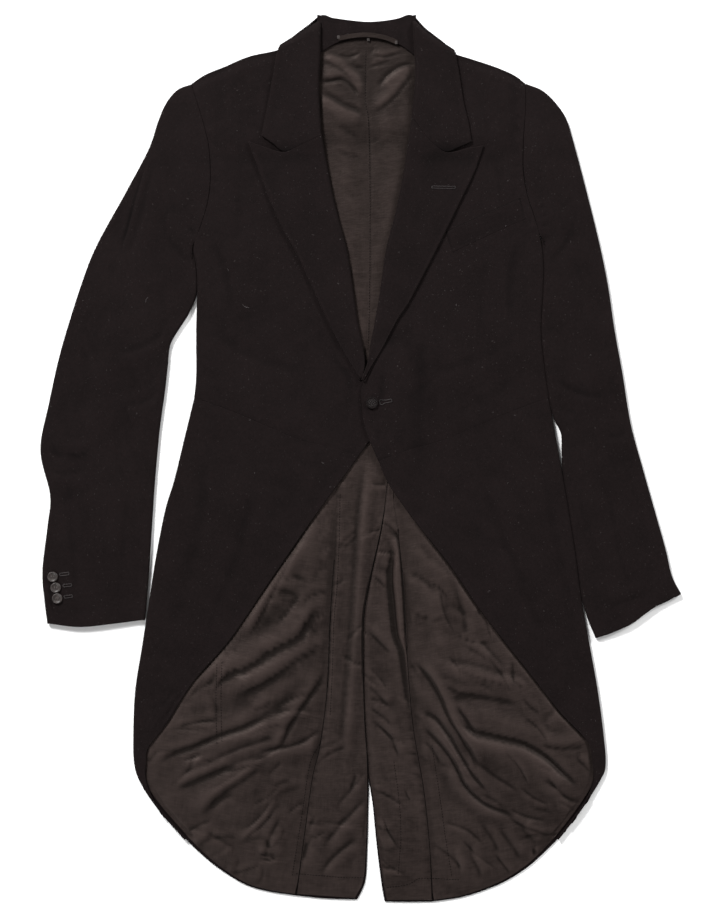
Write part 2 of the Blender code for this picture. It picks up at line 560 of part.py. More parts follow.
def build_collar(wool, parts):
    """Lapels, collar falls, back fall and stand."""
    halves = (("right", ROLL_R, LAPEL_EDGE_R, GORGE_R, FALL_ROLL_R, FALL_EDGE_R, FALL_TOP_R,
               FALL_FOOT_R, right_front),
              ("left", ROLL_L, LAPEL_EDGE_L, GORGE_L, FALL_ROLL_L, FALL_EDGE_L, FALL_TOP_L,
               FALL_FOOT_L, left_front))
    for label, roll, edge, gorge, fall_roll, fall_edge, fall_top, fall_foot, high in halves:

        def rolled(x, y, across, down):
            rise = (LAPEL_ROLL - LAPEL_REST) * across ** 2 * (1.0 - 0.6 * down)
            return high(x, y) + LAPEL_REST + rise
        rows = np.concatenate([np.arange(0.0, 8.5) / 12.0, np.arange(17.0, 24.5) / 24.0])
        bend = smooth(roll, rows)
        low = LAPEL_LOW + neck_lift(bend[:, 0], bend[:, 1], FRONT_LEAD)
        end = np.linspace(edge[-1], roll[-1], 6)
        grid = panel(smooth(edge, rows), bend, smooth(gorge, even(6)), end, rolled,
                     right_turn=(ROLL_REACH, 180.0, low, ROLL_LIP, 4), fading=3.0)
        shell("lapel_" + label, grid, LAPEL, wool, parts)

        def drooping(down):
            return FALL_DROOP * np.clip(1.0 - down / 0.08, 0.0, 1.0) ** 2

        def falling(x, y, across, down):
            rise = (LAPEL_ROLL - LAPEL_REST) * across ** 2
            return high(x, y) + LAPEL_REST + rise - drooping(down)
        rows = np.array([0.0, 0.035, 0.08, 0.2, 0.36, 0.52, 0.68, 0.84, 1.0])
        low = FALL_LOW - 0.4 * drooping(rows)
        grid = panel(smooth(fall_edge, rows), smooth(fall_roll, rows),
                     smooth(fall_top, even(6)), smooth(fall_foot, even(6)), falling, down=rows,
                     right_turn=(ROLL_REACH, 180.0, low, ROLL_LIP, 4))
        shell("collar_" + label, grid, LAPEL, wool, parts)

    grid = panel(smooth(BACK_FALL_TOP, even(15)), smooth(BACK_FALL_FOOT, even(15)),
                 np.linspace(BACK_FALL_TOP[0], BACK_FALL_FOOT[0], 3),
                 np.linspace(BACK_FALL_TOP[-1], BACK_FALL_FOOT[-1], 3), on_floor,
                 left_turn=(SIDE_REACH, 90.0, BACK_FALL_RISE, -0.6, 3))
    shell("collar_back", grid, COLLAR_FALL, wool, parts, face=-1.0)

    def stand(x, y, across, down):
        return STAND_HEIGHT - 0.5 * (1.0 - step(down, 0.0, 0.35))
    rows = even(4)
    grid = panel(np.linspace(STAND_TOP[0], STAND_FOOT[0], 4),
                 np.linspace(STAND_TOP[-1], STAND_FOOT[-1], 4),
                 smooth(STAND_TOP, even(9)), smooth(STAND_FOOT, even(9)), stand, down=rows)
    shell("collar_stand", grid, WOOL, wool, parts)


def build_sleeve(label, side, edges, wool, parts):
    """Top sleeve folded round both sides, and the under sleeve between its lips."""
    rows = even(17)
    outer = smooth(edges["sleeve_out"], rows)
    inner = pieced(edges["sleeve_in"], np.arange(17))
    head = sideways(pieced(edges["armhole"], np.arange(8)), side * 0.4)
    lip = 2.0 + (SLEEVE_LIP - 2.0) * step(rows, 0.0, 0.25)
    fold = (SLEEVE_REACH, 180.0, 0.0, lip, 4)

    def crowned(x, y, across, down):
        swell = SLEEVE_CROWN * np.sin(np.pi * across) + 0.5 * (1.0 - step(down, 0.0, 0.2))
        return SLEEVE_TOP + swell * np.sin(np.pi * np.clip(across, 0.0, 1.0)) ** 0.5
    grid = panel(outer, inner, head, smooth(edges["cuff"], even(8)), crowned, left_turn=fold,
                 right_turn=fold, fading=60.0)
    shell("top_sleeve_" + label, grid, WOOL, wool, parts)

    inset = (SLEEVE_REACH + lip + SEAM + 3.0 * (1.0 - step(rows, 0.0, 0.12)))[:, None]
    left = outer + inward(outer, inner) * inset
    left[0] += (side * 4.0, 0.0)
    right = inner + inward(inner, outer) * inset
    middle = pieced(edges["armhole"], np.array([0.0, 1.0, 2.0, 4.0, 5.5, 7.0]))
    grid = panel(left, right, sideways(middle, side * 0.6), smooth(edges["cuff"], even(6)),
                 on_floor, fading=60.0)
    shell("under_sleeve_" + label, grid, WOOL, wool, parts, face=-1.0)


def turned_disc(name, x, y, z, diameter, height, material, parts, steps=20):
    """A button: a lathed profile with a raised rim round a shallow dish."""
    radius = diameter / 2
    profile = ((0.0, 0.0), (0.8, 0.0), (1.0, 0.35), (1.0, 0.75), (0.9, 1.0), (0.72, 1.0),
               (0.6, 0.72), (0.0, 0.68))
    turn_angle = np.linspace(0.0, 2 * math.pi, steps, endpoint=False)
    points = [(x, y, z)]
    for out, up in profile[1:-1]:
        for angle in turn_angle:
            points.append((x + radius * out * math.cos(angle),
                           y + radius * out * math.sin(angle), z + height * up))
    points.append((x, y, z + height * profile[-1][1]))
    rings = len(profile) - 2
    faces = []
    for k in range(steps):
        after = (k + 1) % steps
        faces.append((0, 1 + after, 1 + k))
        for ring in range(rings - 1):
            low = 1 + ring * steps
            faces.append((low + k, low + after, low + steps + after, low + steps + k))
        last = 1 + (rings - 1) * steps
        faces.append((last + k, last + after, len(points) - 1))
    mesh = bpy.data.meshes.new(name)
    mesh.from_pydata(((np.array(points) + PLACE) * MM).tolist(), [], faces)
    mesh.materials.append(material)
    parts.objects.link(bpy.data.objects.new(name, mesh))


def build_trim(wool, satin, horn, parts):
    """Pocket welt, hanger loop and buttons."""
    top = smooth(WELT_TOP, even(7))
    foot = smooth(WELT_FOOT, even(7))
    rows = even(3)

    def welt(x, y, across, down):
        return left_front(x, y) + WELT + 0.35
    grid = panel(np.linspace(top[0], foot[0], 3), np.linspace(top[-1], foot[-1], 3), top, foot,
                 welt, down=rows)
    shell("breast_welt", grid, WELT, wool, parts)

    line = smooth(LOOP_LINE, even(13))
    across = inward(line, line + (0.0, 1.0)) * LOOP_WIDTH / 2

    def loop(x, y, across, down):
        return STAND_HEIGHT + 0.3 + SATIN + 0.5 * np.sin(np.pi * across)
    grid = panel(np.linspace(line[0] + across[0], line[0] - across[0], 3),
                 np.linspace(line[-1] + across[-1], line[-1] - across[-1], 3),
                 line + across, line - across, loop, down=even(3))
    shell("hanger_loop", grid, SATIN, satin, parts)

    x, y = FRONT_BUTTON_AT
    rest = FRONT_TOP + OVERLAP_RISE + SEAM
    turned_disc("front_button", x, y, rest, FRONT_BUTTON, BUTTON_HEIGHT + 0.6, wool, parts)
    for number, (x, y) in enumerate(CUFF_BUTTONS, 1):
        turned_disc("cuff_button_%d" % number, x, y, CUFF_REST, CUFF_BUTTON, BUTTON_HEIGHT, horn,
                    parts)


def build():
    """The whole coat."""
    parts = begin()
    wool = cloth("black wool", (0.014, 0.0115, 0.011), 0.85, 0.3)
    satin = cloth("brown black satin", (0.045, 0.032, 0.028), 0.45)
    horn = cloth("dark horn", (0.05, 0.042, 0.036), 0.4)
    right = dict(armhole=ARMHOLE_R, side=SIDE_R, shoulder=SHOULDER_R, back_head=BACK_HEAD_R,
                 front=FRONT_R, waist=WAIST_R, back_seam=BACK_SEAM_R,
                 skirt_side=SKIRT_SIDE_R, cutaway=CUTAWAY_R, hem=HEM_R,
                 tail_hem=TAIL_HEM_R, vent=VENT_R, lining_head=LINING_HEAD_R,
                 folds=LINING_FOLDS_R, sleeve_out=SLEEVE_OUT_R, sleeve_in=SLEEVE_IN_R,
                 cuff=CUFF_R)
    left = dict(armhole=ARMHOLE_L, side=SIDE_L, shoulder=SHOULDER_L, back_head=BACK_HEAD_L,
                front=FRONT_L, waist=WAIST_L, back_seam=BACK_SEAM_L,
                skirt_side=SKIRT_SIDE_L, cutaway=CUTAWAY_L, hem=HEM_L,
                tail_hem=TAIL_HEM_L, vent=VENT_L, lining_head=LINING_HEAD_L,
                folds=LINING_FOLDS_L, sleeve_out=SLEEVE_OUT_L, sleeve_in=SLEEVE_IN_L,
                cuff=CUFF_L)
    for label, side, edges, high in (("right", -1.0, right, right_front),
                                     ("left", 1.0, left, left_front)):
        build_back(label, side, edges, wool, satin, parts)
        build_front(label, side, edges, high, wool, satin, parts)
        build_sleeve(label, side, edges, wool, parts)
    build_collar(wool, parts)
    build_trim(wool, satin, horn, parts)


build()
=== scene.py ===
"""Looks of the black tailcoat, which lies flat on its back with the front up.

Every piece of cloth is a thin closed wall. Its outer face is a grid between four edge
lines in plan, lifted by a height rule for its layer, with the creases of the worn cloth
added as troughs and ridges. X runs to the wearer's left, Y to the collar, Z up.
Tables are in millimetres, and every mesh is in metres.
"""

import math

import bpy
import numpy as np
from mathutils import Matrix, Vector
from mathutils.bvhtree import BVHTree


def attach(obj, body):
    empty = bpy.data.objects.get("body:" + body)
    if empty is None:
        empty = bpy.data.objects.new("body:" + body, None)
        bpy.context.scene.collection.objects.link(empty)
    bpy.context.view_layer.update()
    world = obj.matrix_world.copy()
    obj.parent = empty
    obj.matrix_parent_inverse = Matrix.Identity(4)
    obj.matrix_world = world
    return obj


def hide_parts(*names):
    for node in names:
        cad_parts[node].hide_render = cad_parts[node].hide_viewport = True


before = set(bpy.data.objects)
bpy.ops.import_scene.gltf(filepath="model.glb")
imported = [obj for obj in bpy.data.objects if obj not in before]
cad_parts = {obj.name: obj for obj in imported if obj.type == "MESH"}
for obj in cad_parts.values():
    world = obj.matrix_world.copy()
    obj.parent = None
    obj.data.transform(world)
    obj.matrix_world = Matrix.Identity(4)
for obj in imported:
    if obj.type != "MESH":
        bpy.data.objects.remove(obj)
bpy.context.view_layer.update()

MM = 0.001

# Moves the coat so that the middle of its outline in plan is the origin
PLACE = np.array([0.35, -1.05, 0.0])

# Thickness of each kind of cloth
WOOL = 1.6
CANVASSED = 2.6
LAPEL = 2.2
SATIN = 1.0
WELT = 0.9

# Gap left between two pieces at a seam, and how much of the gap between sleeve and side
# the soft cloth closes
SEAM = 0.06
CLOSE = 0.9

# How much the troughs and the ridges of the creases are strengthened, in the lining of the
# tails and of the back
TAIL_STRENGTH = (2.7, 0.85)
BACK_STRENGTH = (4.2, 0.75)

# Heights of the upper face of each layer above the floor, how much a sleeve swells, and how
# much the padding raises the middle of a lining
LINING_TOP = 3.0
FRONT_TOP = 6.5
SLEEVE_TOP = 5.8
SLEEVE_CROWN = 1.2
BACK_PADDING = 0.8
TAIL_PADDING = 1.4

# The flat cut of a piece: its least length in metres, how many times wider than its face it
# is, and the most of its area that the face may fill
CUT_LEAST = 0.0101
CUT_SPARE = 1.1
CUT_FILLED = 0.95

# How much of their tabled heights the folds and the swells of the tails' lining take
FOLD_STRENGTH = 0.55
SWELL_STRENGTH = 1.5

# Columns across a forepart and a skirt, a back lining, and a skirt lining
FRONT_COLUMNS = 92
BACK_LINING_COLUMNS = 66
LINING_COLUMNS = 120

# Height of the cloth on which a hollow of the lining comes to rest, and how far the lining
# may rise: under the wool at the back and at the tails, how much more where it shows, and
# the distance from the wool's edge over which this grows
LINING_REST = 1.8
BACK_COVERED = 0.3
TAIL_COVERED = 0.2
SHOWN_RISE = 8.0
SHOWN_OVER = 14.0

# Lift of the back lining's free edge at the vent, by side, and the part of the width it takes
VENT_EDGE = {-1.0: (0.9, 0.10), 1.0: (-1.2, 0.08)}

# Distance from a rim to the line of points that keeps it crisp. Width over which the mean
# height is taken that tells hollows from ridges, and the height that fills the whole scale.
# By this the materials paint shade into the hollows, and the lining paints highlight onto the
# ridges
RIM = 0.5
HOLLOW = 7.0
FOLD_SCALE = 2.4

# Distance between two ribs of the twill, in metres
TWILL = 0.0011

# The collar's back fall lies under the back and lifts the layers above it
COLLAR_FALL = 2.0
NECK_LIFT = 2.3
NECK_LIFT_END = (376.0, 408.0)
LINING_LEAD = 16.0
FRONT_LEAD = 34.0

# The left front buttons over the right one
OVERLAP_RISE = 2.7
OVERLAP_DIP = 0.3
OVERLAP_CENTRE = (10.0, 58.0)
OVERLAP_ACROSS = (24.0, 62.0)
OVERLAP_ALONG = (45.0, 90.0)

# Lapel above the front it lies on, at the outer edge and at the roll, how much higher the
# collar's fall lies, and the swell along the outer edge of both. How far the turn at the
# roll reaches, and its lip
LAPEL_REST = 2.95
LAPEL_ROLL = 5.0
FALL_ABOVE_LAPEL = 0.3
LAPEL_RIM = 0.4
ROLL_REACH = 3.6
ROLL_LIP = 1.0

# The lapel's turn dies out over these parts of its length, down to this reach, and this
# share of the rise at the roll is gone at the lapel's foot
ROLL_END = (0.82, 0.97)
ROLL_LEAST = 0.3
ROLL_EASING = 0.6

# Heights round the roll: lower faces of the lapel and the fall, how far the fall sinks at
# its upper end, over which part of its length, and the share of this at its lower face. The
# raised rim of the back fall, the upper face of the stand, and how much its top sinks
LAPEL_LOW = 4.1
FALL_LOW = 6.3
FALL_DROOP = 3.2
FALL_DROOP_END = 0.08
FALL_LOW_SHARE = 0.4
BACK_FALL_RISE = 4.6
STAND_HEIGHT = 7.6
STAND_SINK = 0.5

# Side folds: how far they reach at the sides, the foot of the tail and the armhole, the
# height at which the fold meets the layer below, and the least width of cloth above a fold.
# Where the lining ends inside the sides, the armhole and the hem, and how far its sides
# draw in at the hem
SIDE_REACH = 3.4
TAIL_REACH = 1.1
FOLD_LEAST = 0.3
SIDE_JOIN = 3.4
ARMHOLE_REACH = 1.0
LINING_SIDE = 5.2
LINING_INSET = 9.0
HEM_INSET = 1.8
HEM_SIDE = 1.5

# Shoulder line, where the forepart sinks to meet the back. The dip of forepart and skirt at
# the waist seam, how far above the seam line the skirt starts and how far below it the
# skirt's lining does, and the swell along the front edges of forepart and skirt
SHOULDER_DROOP = 1.6
SHOULDER_DROOP_END = 0.03
WAIST_DIP = 0.3
WAIST_LAP = 0.1
LINING_DROP = 4.0
FRONT_SWELL = 0.35
SKIRT_SWELL = 0.3

# Sleeves: reach of the side folds, the lips they turn under, at the head and further down,
# and by side the rows of the inner edge over which it parts from the side of the coat
SLEEVE_REACH = 2.9
SLEEVE_LIP_HEAD = 2.0
SLEEVE_LIP = 16.0
SLEEVE_APART = {-1.0: (2.2, 3.5), 1.0: (13.5, 15.0)}

# Swell of the sleeve at its head, and how much narrower the under sleeve is there
SLEEVE_HEAD_SWELL = 0.5
UNDER_SLEEVE_EASE = 3.0

# Buttons: diameters and heights, and what the cuff buttons rest on
FRONT_BUTTON = 14.0
FRONT_BUTTON_HEIGHT = 3.0
CUFF_BUTTON = 12.0
CUFF_BUTTON_HEIGHT = 2.4
CUFF_REST = 6.35

# Profiles of the buttons from the middle of the foot to the middle of the top, as fractions
# of the radius and of the height
FRONT_PROFILE = (
    (0.0, 0.0), (0.75, 0.0), (0.94, 0.25), (1.0, 0.5), (1.0, 0.72), (0.97, 0.9), (0.92, 1.0),
    (0.86, 0.99), (0.81, 0.90), (0.78, 0.86), (0.62, 0.92), (0.58, 0.92), (0.54, 0.86),
    (0.36, 0.86), (0.31, 0.89), (0.27, 0.85), (0.12, 0.83), (0.0, 0.82))
CUFF_PROFILE = (
    (0.0, 0.0), (0.78, 0.0), (0.95, 0.25), (1.0, 0.5), (1.0, 0.7), (0.96, 0.9), (0.90, 0.98),
    (0.84, 1.0), (0.76, 0.97), (0.68, 0.86), (0.60, 0.76), (0.45, 0.72), (0.2, 0.70),
    (0.0, 0.70))

# Threads that cross the front button: turns of the two layers in radians, threads in each,
# how far out the last one lies and how far out they end, as fractions of the radius, their
# height above the button's foot, how much their ends sink, and their radius
THREAD_TURNS = (0.9, -0.65)
THREAD_COUNT = 5
THREAD_SPREAD = 0.62
THREAD_END = 0.72
THREAD_HIGH = 2.68
THREAD_SINK = 0.5
THREAD_RADIUS = 0.2

# Bars of thread at each tack of the hanger loop, the half width of the cords along the
# lining's seams, and the half width of the dark rod of painted shadow along the welt's edge
TACK_BARS = 4
SEAM_CORD = 0.36
WELT_SHADOW_LINE = 0.42

# Specks of dust on the wool: their number, how far they lie off a point of the cloth, and
# their least and greatest length and half width
DUST = 90
DUST_OFF = 2.0
DUST_LENGTH = (0.5, 1.8)
DUST_WIDTH = (0.08, 0.15)

# Soft boxes that face the middle of the coat: name, place and size in metres, power in watts
LIGHTS = (("from the top left", (-2.3, 3.5, 3.3), (1.2, 1.2), 410.0),
          ("from the top right", (3.2, 2.6, 2.4), (1.2, 1.2), 165.0),
          ("from below", (-2.2, -2.6, 2.4), (1.6, 1.2), 60.0))
WORLD_STRENGTH = 0.22

# Half the width of the floor and its height, and the camera's place, in metres
FLOOR_HALF = 3.0
FLOOR_HIGH = -0.0005
CAMERA_AT = (-0.0008, -0.0005, 2.4986)
CAMERA_LENS = 85.0

# Each edge line below is a table with the columns x, y

# Wearer's right
ARMHOLE_R = ((-195.5, 431.6), (-188.0, 408.0), (-179.4, 378.9), (-174.8, 354.8),
             (-173.6, 321.4), (-177.1, 293.8), (-185.1, 267.4), (-193.2, 244.4))
SIDE_R = ((-193.2, 244.4), (-189.7, 222.5), (-188.6, 198.4), (-189.7, 148.9),
          (-189.7, 97.2), (-192.0, 70.7))
SHOULDER_R = ((-195.5, 431.6), (-179.4, 442.2), (-156.4, 451.4), (-127.6, 462.9),
              (-94.3, 470.4), (-73.6, 480.7), (-55.2, 492.5))
BACK_HEAD_R = ((-195.5, 431.6), (-179.4, 442.2), (-156.4, 451.4), (-127.6, 462.0),
               (-103.0, 466.0), (-80.0, 475.0), (-60.0, 490.0), (-44.0, 500.0),
               (-20.0, 499.0), (7.5, 497.0))
FRONT_R = ((-56.0, 492.5), (-53.2, 462.9), (-54.6, 422.6), (-51.6, 369.7), (-41.4, 314.5),
           (-32.3, 275.4), (-22.2, 235.2), (-10.6, 160.4), (-4.0, 125.9), (-1.2, 107.0),
           (6.0, 90.0), (31.0, 76.0), (27.6, 43.1), (10.3, 22.4), (-3.4, 4.0))
WAIST_R = ((-192.0, 70.7), (-150.6, 55.8), (-106.9, 37.4), (-70.1, 22.4), (-35.6, 14.4),
           (-3.4, 4.0))
BACK_SEAM_R = ((-173.6, 321.4), (-159.8, 269.7), (-129.9, 200.7), (-89.7, 131.7),
               (-49.4, 68.4), (-31.0, 22.4), (-28.7, -38.5), (-31.0, -115.6),
               (-35.6, -184.6), (-39.1, -265.1), (-47.1, -328.3), (-56.3, -368.6),
               (-65.5, -435.3), (-74.8, -502.0))
SKIRT_SIDE_R = ((-192.0, 70.7), (-202.4, 28.2), (-215.0, -23.6), (-225.4, -58.1),
                (-235.7, -109.8), (-243.8, -161.6), (-251.8, -213.3), (-259.9, -265.1),
                (-262.2, -316.8), (-261.0, -351.3), (-253.0, -374.3), (-233.4, -403.1),
                (-203.5, -437.6))
CUTAWAY_R = ((-3.4, 4.0), (-17.2, -15.5), (-36.8, -42.0), (-63.2, -78.8), (-103.5, -137.4),
             (-150.6, -206.4), (-194.3, -257.0), (-223.1, -303.0), (-245.2, -331.8),
             (-247.0, -351.0), (-244.2, -369.6), (-227.3, -397.9), (-197.4, -432.4))
HEM_R = ((-203.5, -437.6), (-185.1, -454.8), (-163.3, -472.1), (-134.5, -489.3),
         (-106.9, -497.4), (-74.8, -502.0))
TAIL_HEM_R = ((-74.8, -502.0), (-41.4, -505.4), (-4.6, -506.6))
VENT_R = ((8.0, -357.1), (8.0, -408.8), (6.9, -449.1), (4.6, -485.9), (-4.6, -506.6))

# Wearer's left
ARMHOLE_L = ((189.6, 432.4), (189.5, 402.0), (187.6, 372.4), (187.0, 350.0), (187.4, 330.6),
             (192.0, 303.0), (200.1, 277.7), (207.0, 252.4))
SIDE_L = ((207.0, 252.4), (210.2, 225.0), (209.4, 190.0), (207.2, 150.0), (210.4, 112.1),
          (216.2, 70.7))
SHOULDER_L = ((189.6, 432.4), (175.9, 442.2), (152.9, 451.4), (125.3, 460.3),
              (108.1, 465.8), (89.7, 475.4), (69.0, 492.5))
BACK_HEAD_L = ((189.6, 432.4), (175.9, 442.2), (152.9, 451.4), (125.3, 460.3),
               (108.0, 461.5), (92.0, 470.0), (74.0, 484.0), (57.0, 499.0),
               (32.0, 499.0), (7.5, 497.0))
FRONT_L = ((70.0, 492.5), (68.8, 444.5), (64.6, 388.1), (57.6, 341.0), (47.2, 286.9),
           (35.8, 242.1), (27.4, 185.7), (18.0, 137.4), (12.4, 109.0), (3.4, 88.0),
           (1.1, 78.8),
           (2.3, 58.1), (4.6, 40.8), (10.3, 22.4), (20.7, -1.7))
WAIST_L = ((216.2, 70.7), (175.9, 55.8), (132.2, 37.4), (95.4, 22.4), (58.6, 12.1),
           (20.7, -1.7))
BACK_SEAM_L = ((187.4, 330.6), (175.9, 269.7), (146.0, 200.7), (105.8, 131.7),
               (65.5, 68.4), (42.5, 22.4), (37.9, -39.7), (42.5, -79.9), (49.4, -152.4),
               (52.9, -223.7), (59.8, -305.3), (72.4, -381.2), (79.3, -449.1),
               (82.8, -508.9))
SKIRT_SIDE_L = ((216.2, 70.7), (224.2, 28.2), (232.3, -17.8), (239.2, -58.1),
                (247.2, -109.8), (254.1, -161.6), (263.3, -213.3), (272.5, -265.1),
                (279.4, -316.8), (281.8, -351.3), (276.0, -368.6), (254.1, -403.1),
                (227.7, -437.6))
CUTAWAY_L = ((20.7, -1.7), (31.0, -25.9), (58.6, -66.1), (102.3, -121.3),
             (135.7, -170.8), (162.1, -205.3), (193.2, -244.4), (230.0, -291.5),
             (261.0, -324.9), (265.8, -351.3), (263.5, -372.0), (247.7, -398.3), (221.3, -432.8))
HEM_L = ((227.7, -437.6), (210.4, -454.8), (189.7, -472.1), (159.8, -489.3),
         (119.6, -503.1), (82.8, -508.9))
TAIL_HEM_L = ((82.8, -508.9), (56.3, -509.4), (27.6, -508.9))
VENT_L = ((8.6, -357.1), (13.8, -397.3), (18.4, -443.3), (24.1, -489.3), (27.6, -508.9))

# Upper edge of the back lining
LINING_HEAD_R = ((-180.0, 399.0), (-150.0, 426.0), (-95.0, 446.0), (-45.0, 472.0),
                 (7.45, 488.0))
LINING_HEAD_L = ((178.0, 396.0), (150.0, 424.0), (105.0, 442.0), (60.0, 470.0),
                 (7.55, 488.0))

# Centre back from the neck seam to the foot of the closed part of the vent
CENTRE = ((7.5, 497.0), (6.9, 390.4), (9.2, 298.4), (9.2, 206.4), (9.2, 107.5),
          (21.8, 33.9), (31.0, -21.3), (24.1, -74.2), (8.0, -147.8), (2.3, -194.9),
          (3.4, -285.8), (8.0, -357.1))

# Rows of the back panels along the centre, in Y, without the last one at the hem
BACK_ROWS = (497.0, 468.0, 432.0, 395.0, 345.0, 269.7, 200.7, 131.7, 68.4, 22.4, -39.0,
             -98.0, -168.0, -245.0, -317.0, -375.0, -442.0)

# Lapels and collar
ROLL_R = ((-44.9, 373.0), (-34.5, 314.5), (-25.3, 275.4), (-15.0, 235.2), (-4.0, 160.4),
          (2.0, 131.7), (4.6, 112.0), (2.6, 96.0))
LAPEL_EDGE_R = ((-128.8, 364.5), (-116.2, 330.6), (-103.5, 296.1), (-88.6, 262.8),
                (-70.1, 229.4), (-35.6, 154.7), (-20.7, 125.9), (-1.0, 92.5))
GORGE_R = ((-128.8, 364.5), (-112.0, 359.0), (-86.3, 353.0), (-64.0, 364.6), (-44.9, 373.0))
ROLL_L = ((57.8, 392.0), (50.6, 341.0), (40.3, 286.9), (28.8, 242.1), (20.7, 185.7),
          (11.6, 137.4), (7.4, 112.0), (1.4, 91.5))
LAPEL_EDGE_L = ((140.3, 360.0), (129.9, 330.6), (116.2, 301.9), (95.4, 259.3),
                (57.5, 185.7), (41.4, 160.4), (23.0, 125.9), (11.5, 106.4), (2.8, 90.3))
GORGE_L = ((140.3, 360.0), (122.0, 357.0), (95.4, 353.0), (76.0, 369.6), (57.8, 392.0))
FALL_ROLL_R = ((-46.0, 503.0), (-46.6, 462.9), (-48.0, 422.6), (-45.2, 371.2))
FALL_EDGE_R = ((-93.2, 476.5), (-97.0, 464.0), (-100.1, 443.3), (-105.8, 411.1),
               (-113.8, 371.9))
FALL_TOP_R = ((-93.2, 476.5), (-75.0, 490.0), (-60.0, 501.0), (-46.0, 511.0))
FALL_FOOT_R = ((-113.8, 371.9), (-100.0, 362.5), (-86.3, 353.6), (-64.0, 361.6),
               (-45.2, 369.8))
FALL_ROLL_L = ((59.0, 503.0), (62.1, 443.0), (58.5, 400.0), (57.8, 389.8))
FALL_EDGE_L = ((107.5, 470.5), (112.7, 440.5), (117.3, 411.1), (123.1, 386.0),
               (126.5, 365.0))
FALL_TOP_L = ((107.5, 470.5), (94.0, 481.0), (74.0, 496.0), (59.0, 511.0))
FALL_FOOT_L = ((126.5, 365.0), (112.0, 358.8), (95.4, 353.6), (76.1, 366.2),
               (57.6, 388.3))
STAND_TOP = ((-50.0, 511.0), (-30.0, 507.0), (8.0, 502.9), (40.0, 506.0), (63.0, 511.0))
STAND_FOOT = ((-50.0, 466.0), (-25.0, 480.0), (8.0, 484.5), (40.0, 479.0), (63.0, 464.0))
BACK_FALL_TOP = ((-95.5, 473.0), (-75.0, 489.5), (-60.0, 500.5), (-45.0, 511.5),
                 (-28.0, 507.0), (8.0, 503.0), (40.0, 507.0), (58.0, 511.5),
                 (74.0, 496.5), (94.0, 481.0), (109.5, 468.0))
BACK_FALL_FOOT = ((-99.0, 440.0), (-60.0, 434.0), (8.0, 431.0), (75.0, 434.0),
                  (113.0, 438.0))

# Sleeves
SLEEVE_OUT_R = ((-195.9, 431.8), (-211.5, 425.5), (-224.5, 410.0), (-234.0, 388.0),
                (-245.0, 356.0), (-272.6, 304.2), (-301.3, 252.4), (-316.3, 217.9),
                (-333.5, 166.2), (-347.5, 118.0), (-359.0, 66.0), (-369.2, 10.9),
                (-358.0, -40.8), (-360.8, -75.3), (-366.8, -127.1), (-364.6, -161.6),
                (-361.0, -189.0))
SLEEVE_IN_R = ((-193.6, 244.0), (-190.3, 222.5), (-189.3, 198.4), (-191.5, 183.0),
               (-199.0, 166.2), (-210.0, 149.0), (-219.5, 131.7), (-222.5, 106.0),
               (-225.4, 80.0), (-229.0, 54.0), (-232.3, 28.2), (-236.9, -23.6),
               (-240.4, -75.3), (-242.2, -103.0), (-243.6, -127.1), (-246.4, -161.6),
               (-248.4, -184.6))
CUFF_R = ((-361.0, -189.0), (-326.0, -192.6), (-290.0, -189.6), (-248.4, -184.6))
SLEEVE_IN_L = ((208.0, 252.0), (210.8, 225.0), (210.0, 190.0), (207.8, 150.0),
               (211.0, 112.1), (216.9, 70.7), (222.6, 47.0), (231.0, 30.0),
               (231.8, 6.0), (233.2, -17.8), (239.8, -58.1), (243.8, -84.0),
               (247.9, -109.8), (251.4, -136.0), (254.9, -161.6), (260.5, -182.3),
               (270.0, -205.5))
SLEEVE_OUT_L = ((190.2, 432.4), (209.3, 424.5), (225.4, 409.0), (236.9, 391.0),
                (245.0, 364.5), (256.5, 321.4), (273.7, 252.4), (284.3, 201.2),
                (292.0, 149.5), (301.3, 97.8), (310.5, 41.4), (324.5, -10.4),
                (338.0, -58.1), (350.8, -103.5), (358.0, -134.0), (368.5, -154.5))
CUFF_L = ((368.5, -154.5), (340.0, -168.0), (312.8, -187.0), (290.0, -198.5),
          (270.0, -205.5))

# Where the main folds of the lining stand up
# x, y at the start, the middle and the end; half width; height
LINING_FOLDS_R = (
    (-176.0, -236.0, -118.0, -210.0, -40.0, -166.0, 9.0, 2.2),
    (-172.0, -272.0, -108.0, -245.0, -42.0, -212.0, 10.0, 3.4),
    (-140.0, -300.0, -92.0, -264.0, -46.0, -232.0, 9.0, 2.6),
    (-160.0, -325.0, -112.0, -309.0, -56.0, -282.0, 9.0, 2.8),
    (-205.0, -368.0, -156.0, -340.0, -92.0, -318.0, 9.0, 3.0),
    (-190.0, -394.0, -150.0, -372.0, -108.0, -344.0, 10.0, 2.4),
)
LINING_FOLDS_L = (
    (62.0, -262.0, 98.0, -290.0, 132.0, -344.0, 9.0, 3.0),
    (70.0, -300.0, 108.0, -333.0, 160.0, -392.0, 9.0, 3.2),
    (108.0, -286.0, 166.0, -300.0, 230.0, -326.0, 10.0, 3.0),
    (118.0, -322.0, 176.0, -345.0, 222.0, -378.0, 10.0, 2.6),
    (88.0, -236.0, 150.0, -240.0, 204.0, -258.0, 9.0, 2.2),
)

# Cuff buttons on the right sleeve, from the top one down: x, y
CUFF_BUTTONS = ((-354.4, -135.0), (-350.8, -147.4), (-349.1, -159.8))
FRONT_BUTTON_AT = (12.7, 65.0)

# Upper face of the breast pocket welt above the left front: at its foot, and how much more
# along its upper edge. Its upper and lower line: x, y
WELT_LOW = 0.05
WELT_PROUD = WELT + 0.4
WELT_TOP = ((97.6, 260.9), (140.0, 280.5), (182.9, 299.6))
WELT_FOOT = ((105.0, 238.2), (147.0, 258.0), (189.5, 277.0))

# Hanger loop at the back neck: its width, and its middle line in x, y
LOOP_WIDTH = 5.0
LOOP_LINE = ((-26.0, 483.5), (-10.0, 486.5), (8.0, 487.6), (26.0, 485.0), (41.0, 479.5))

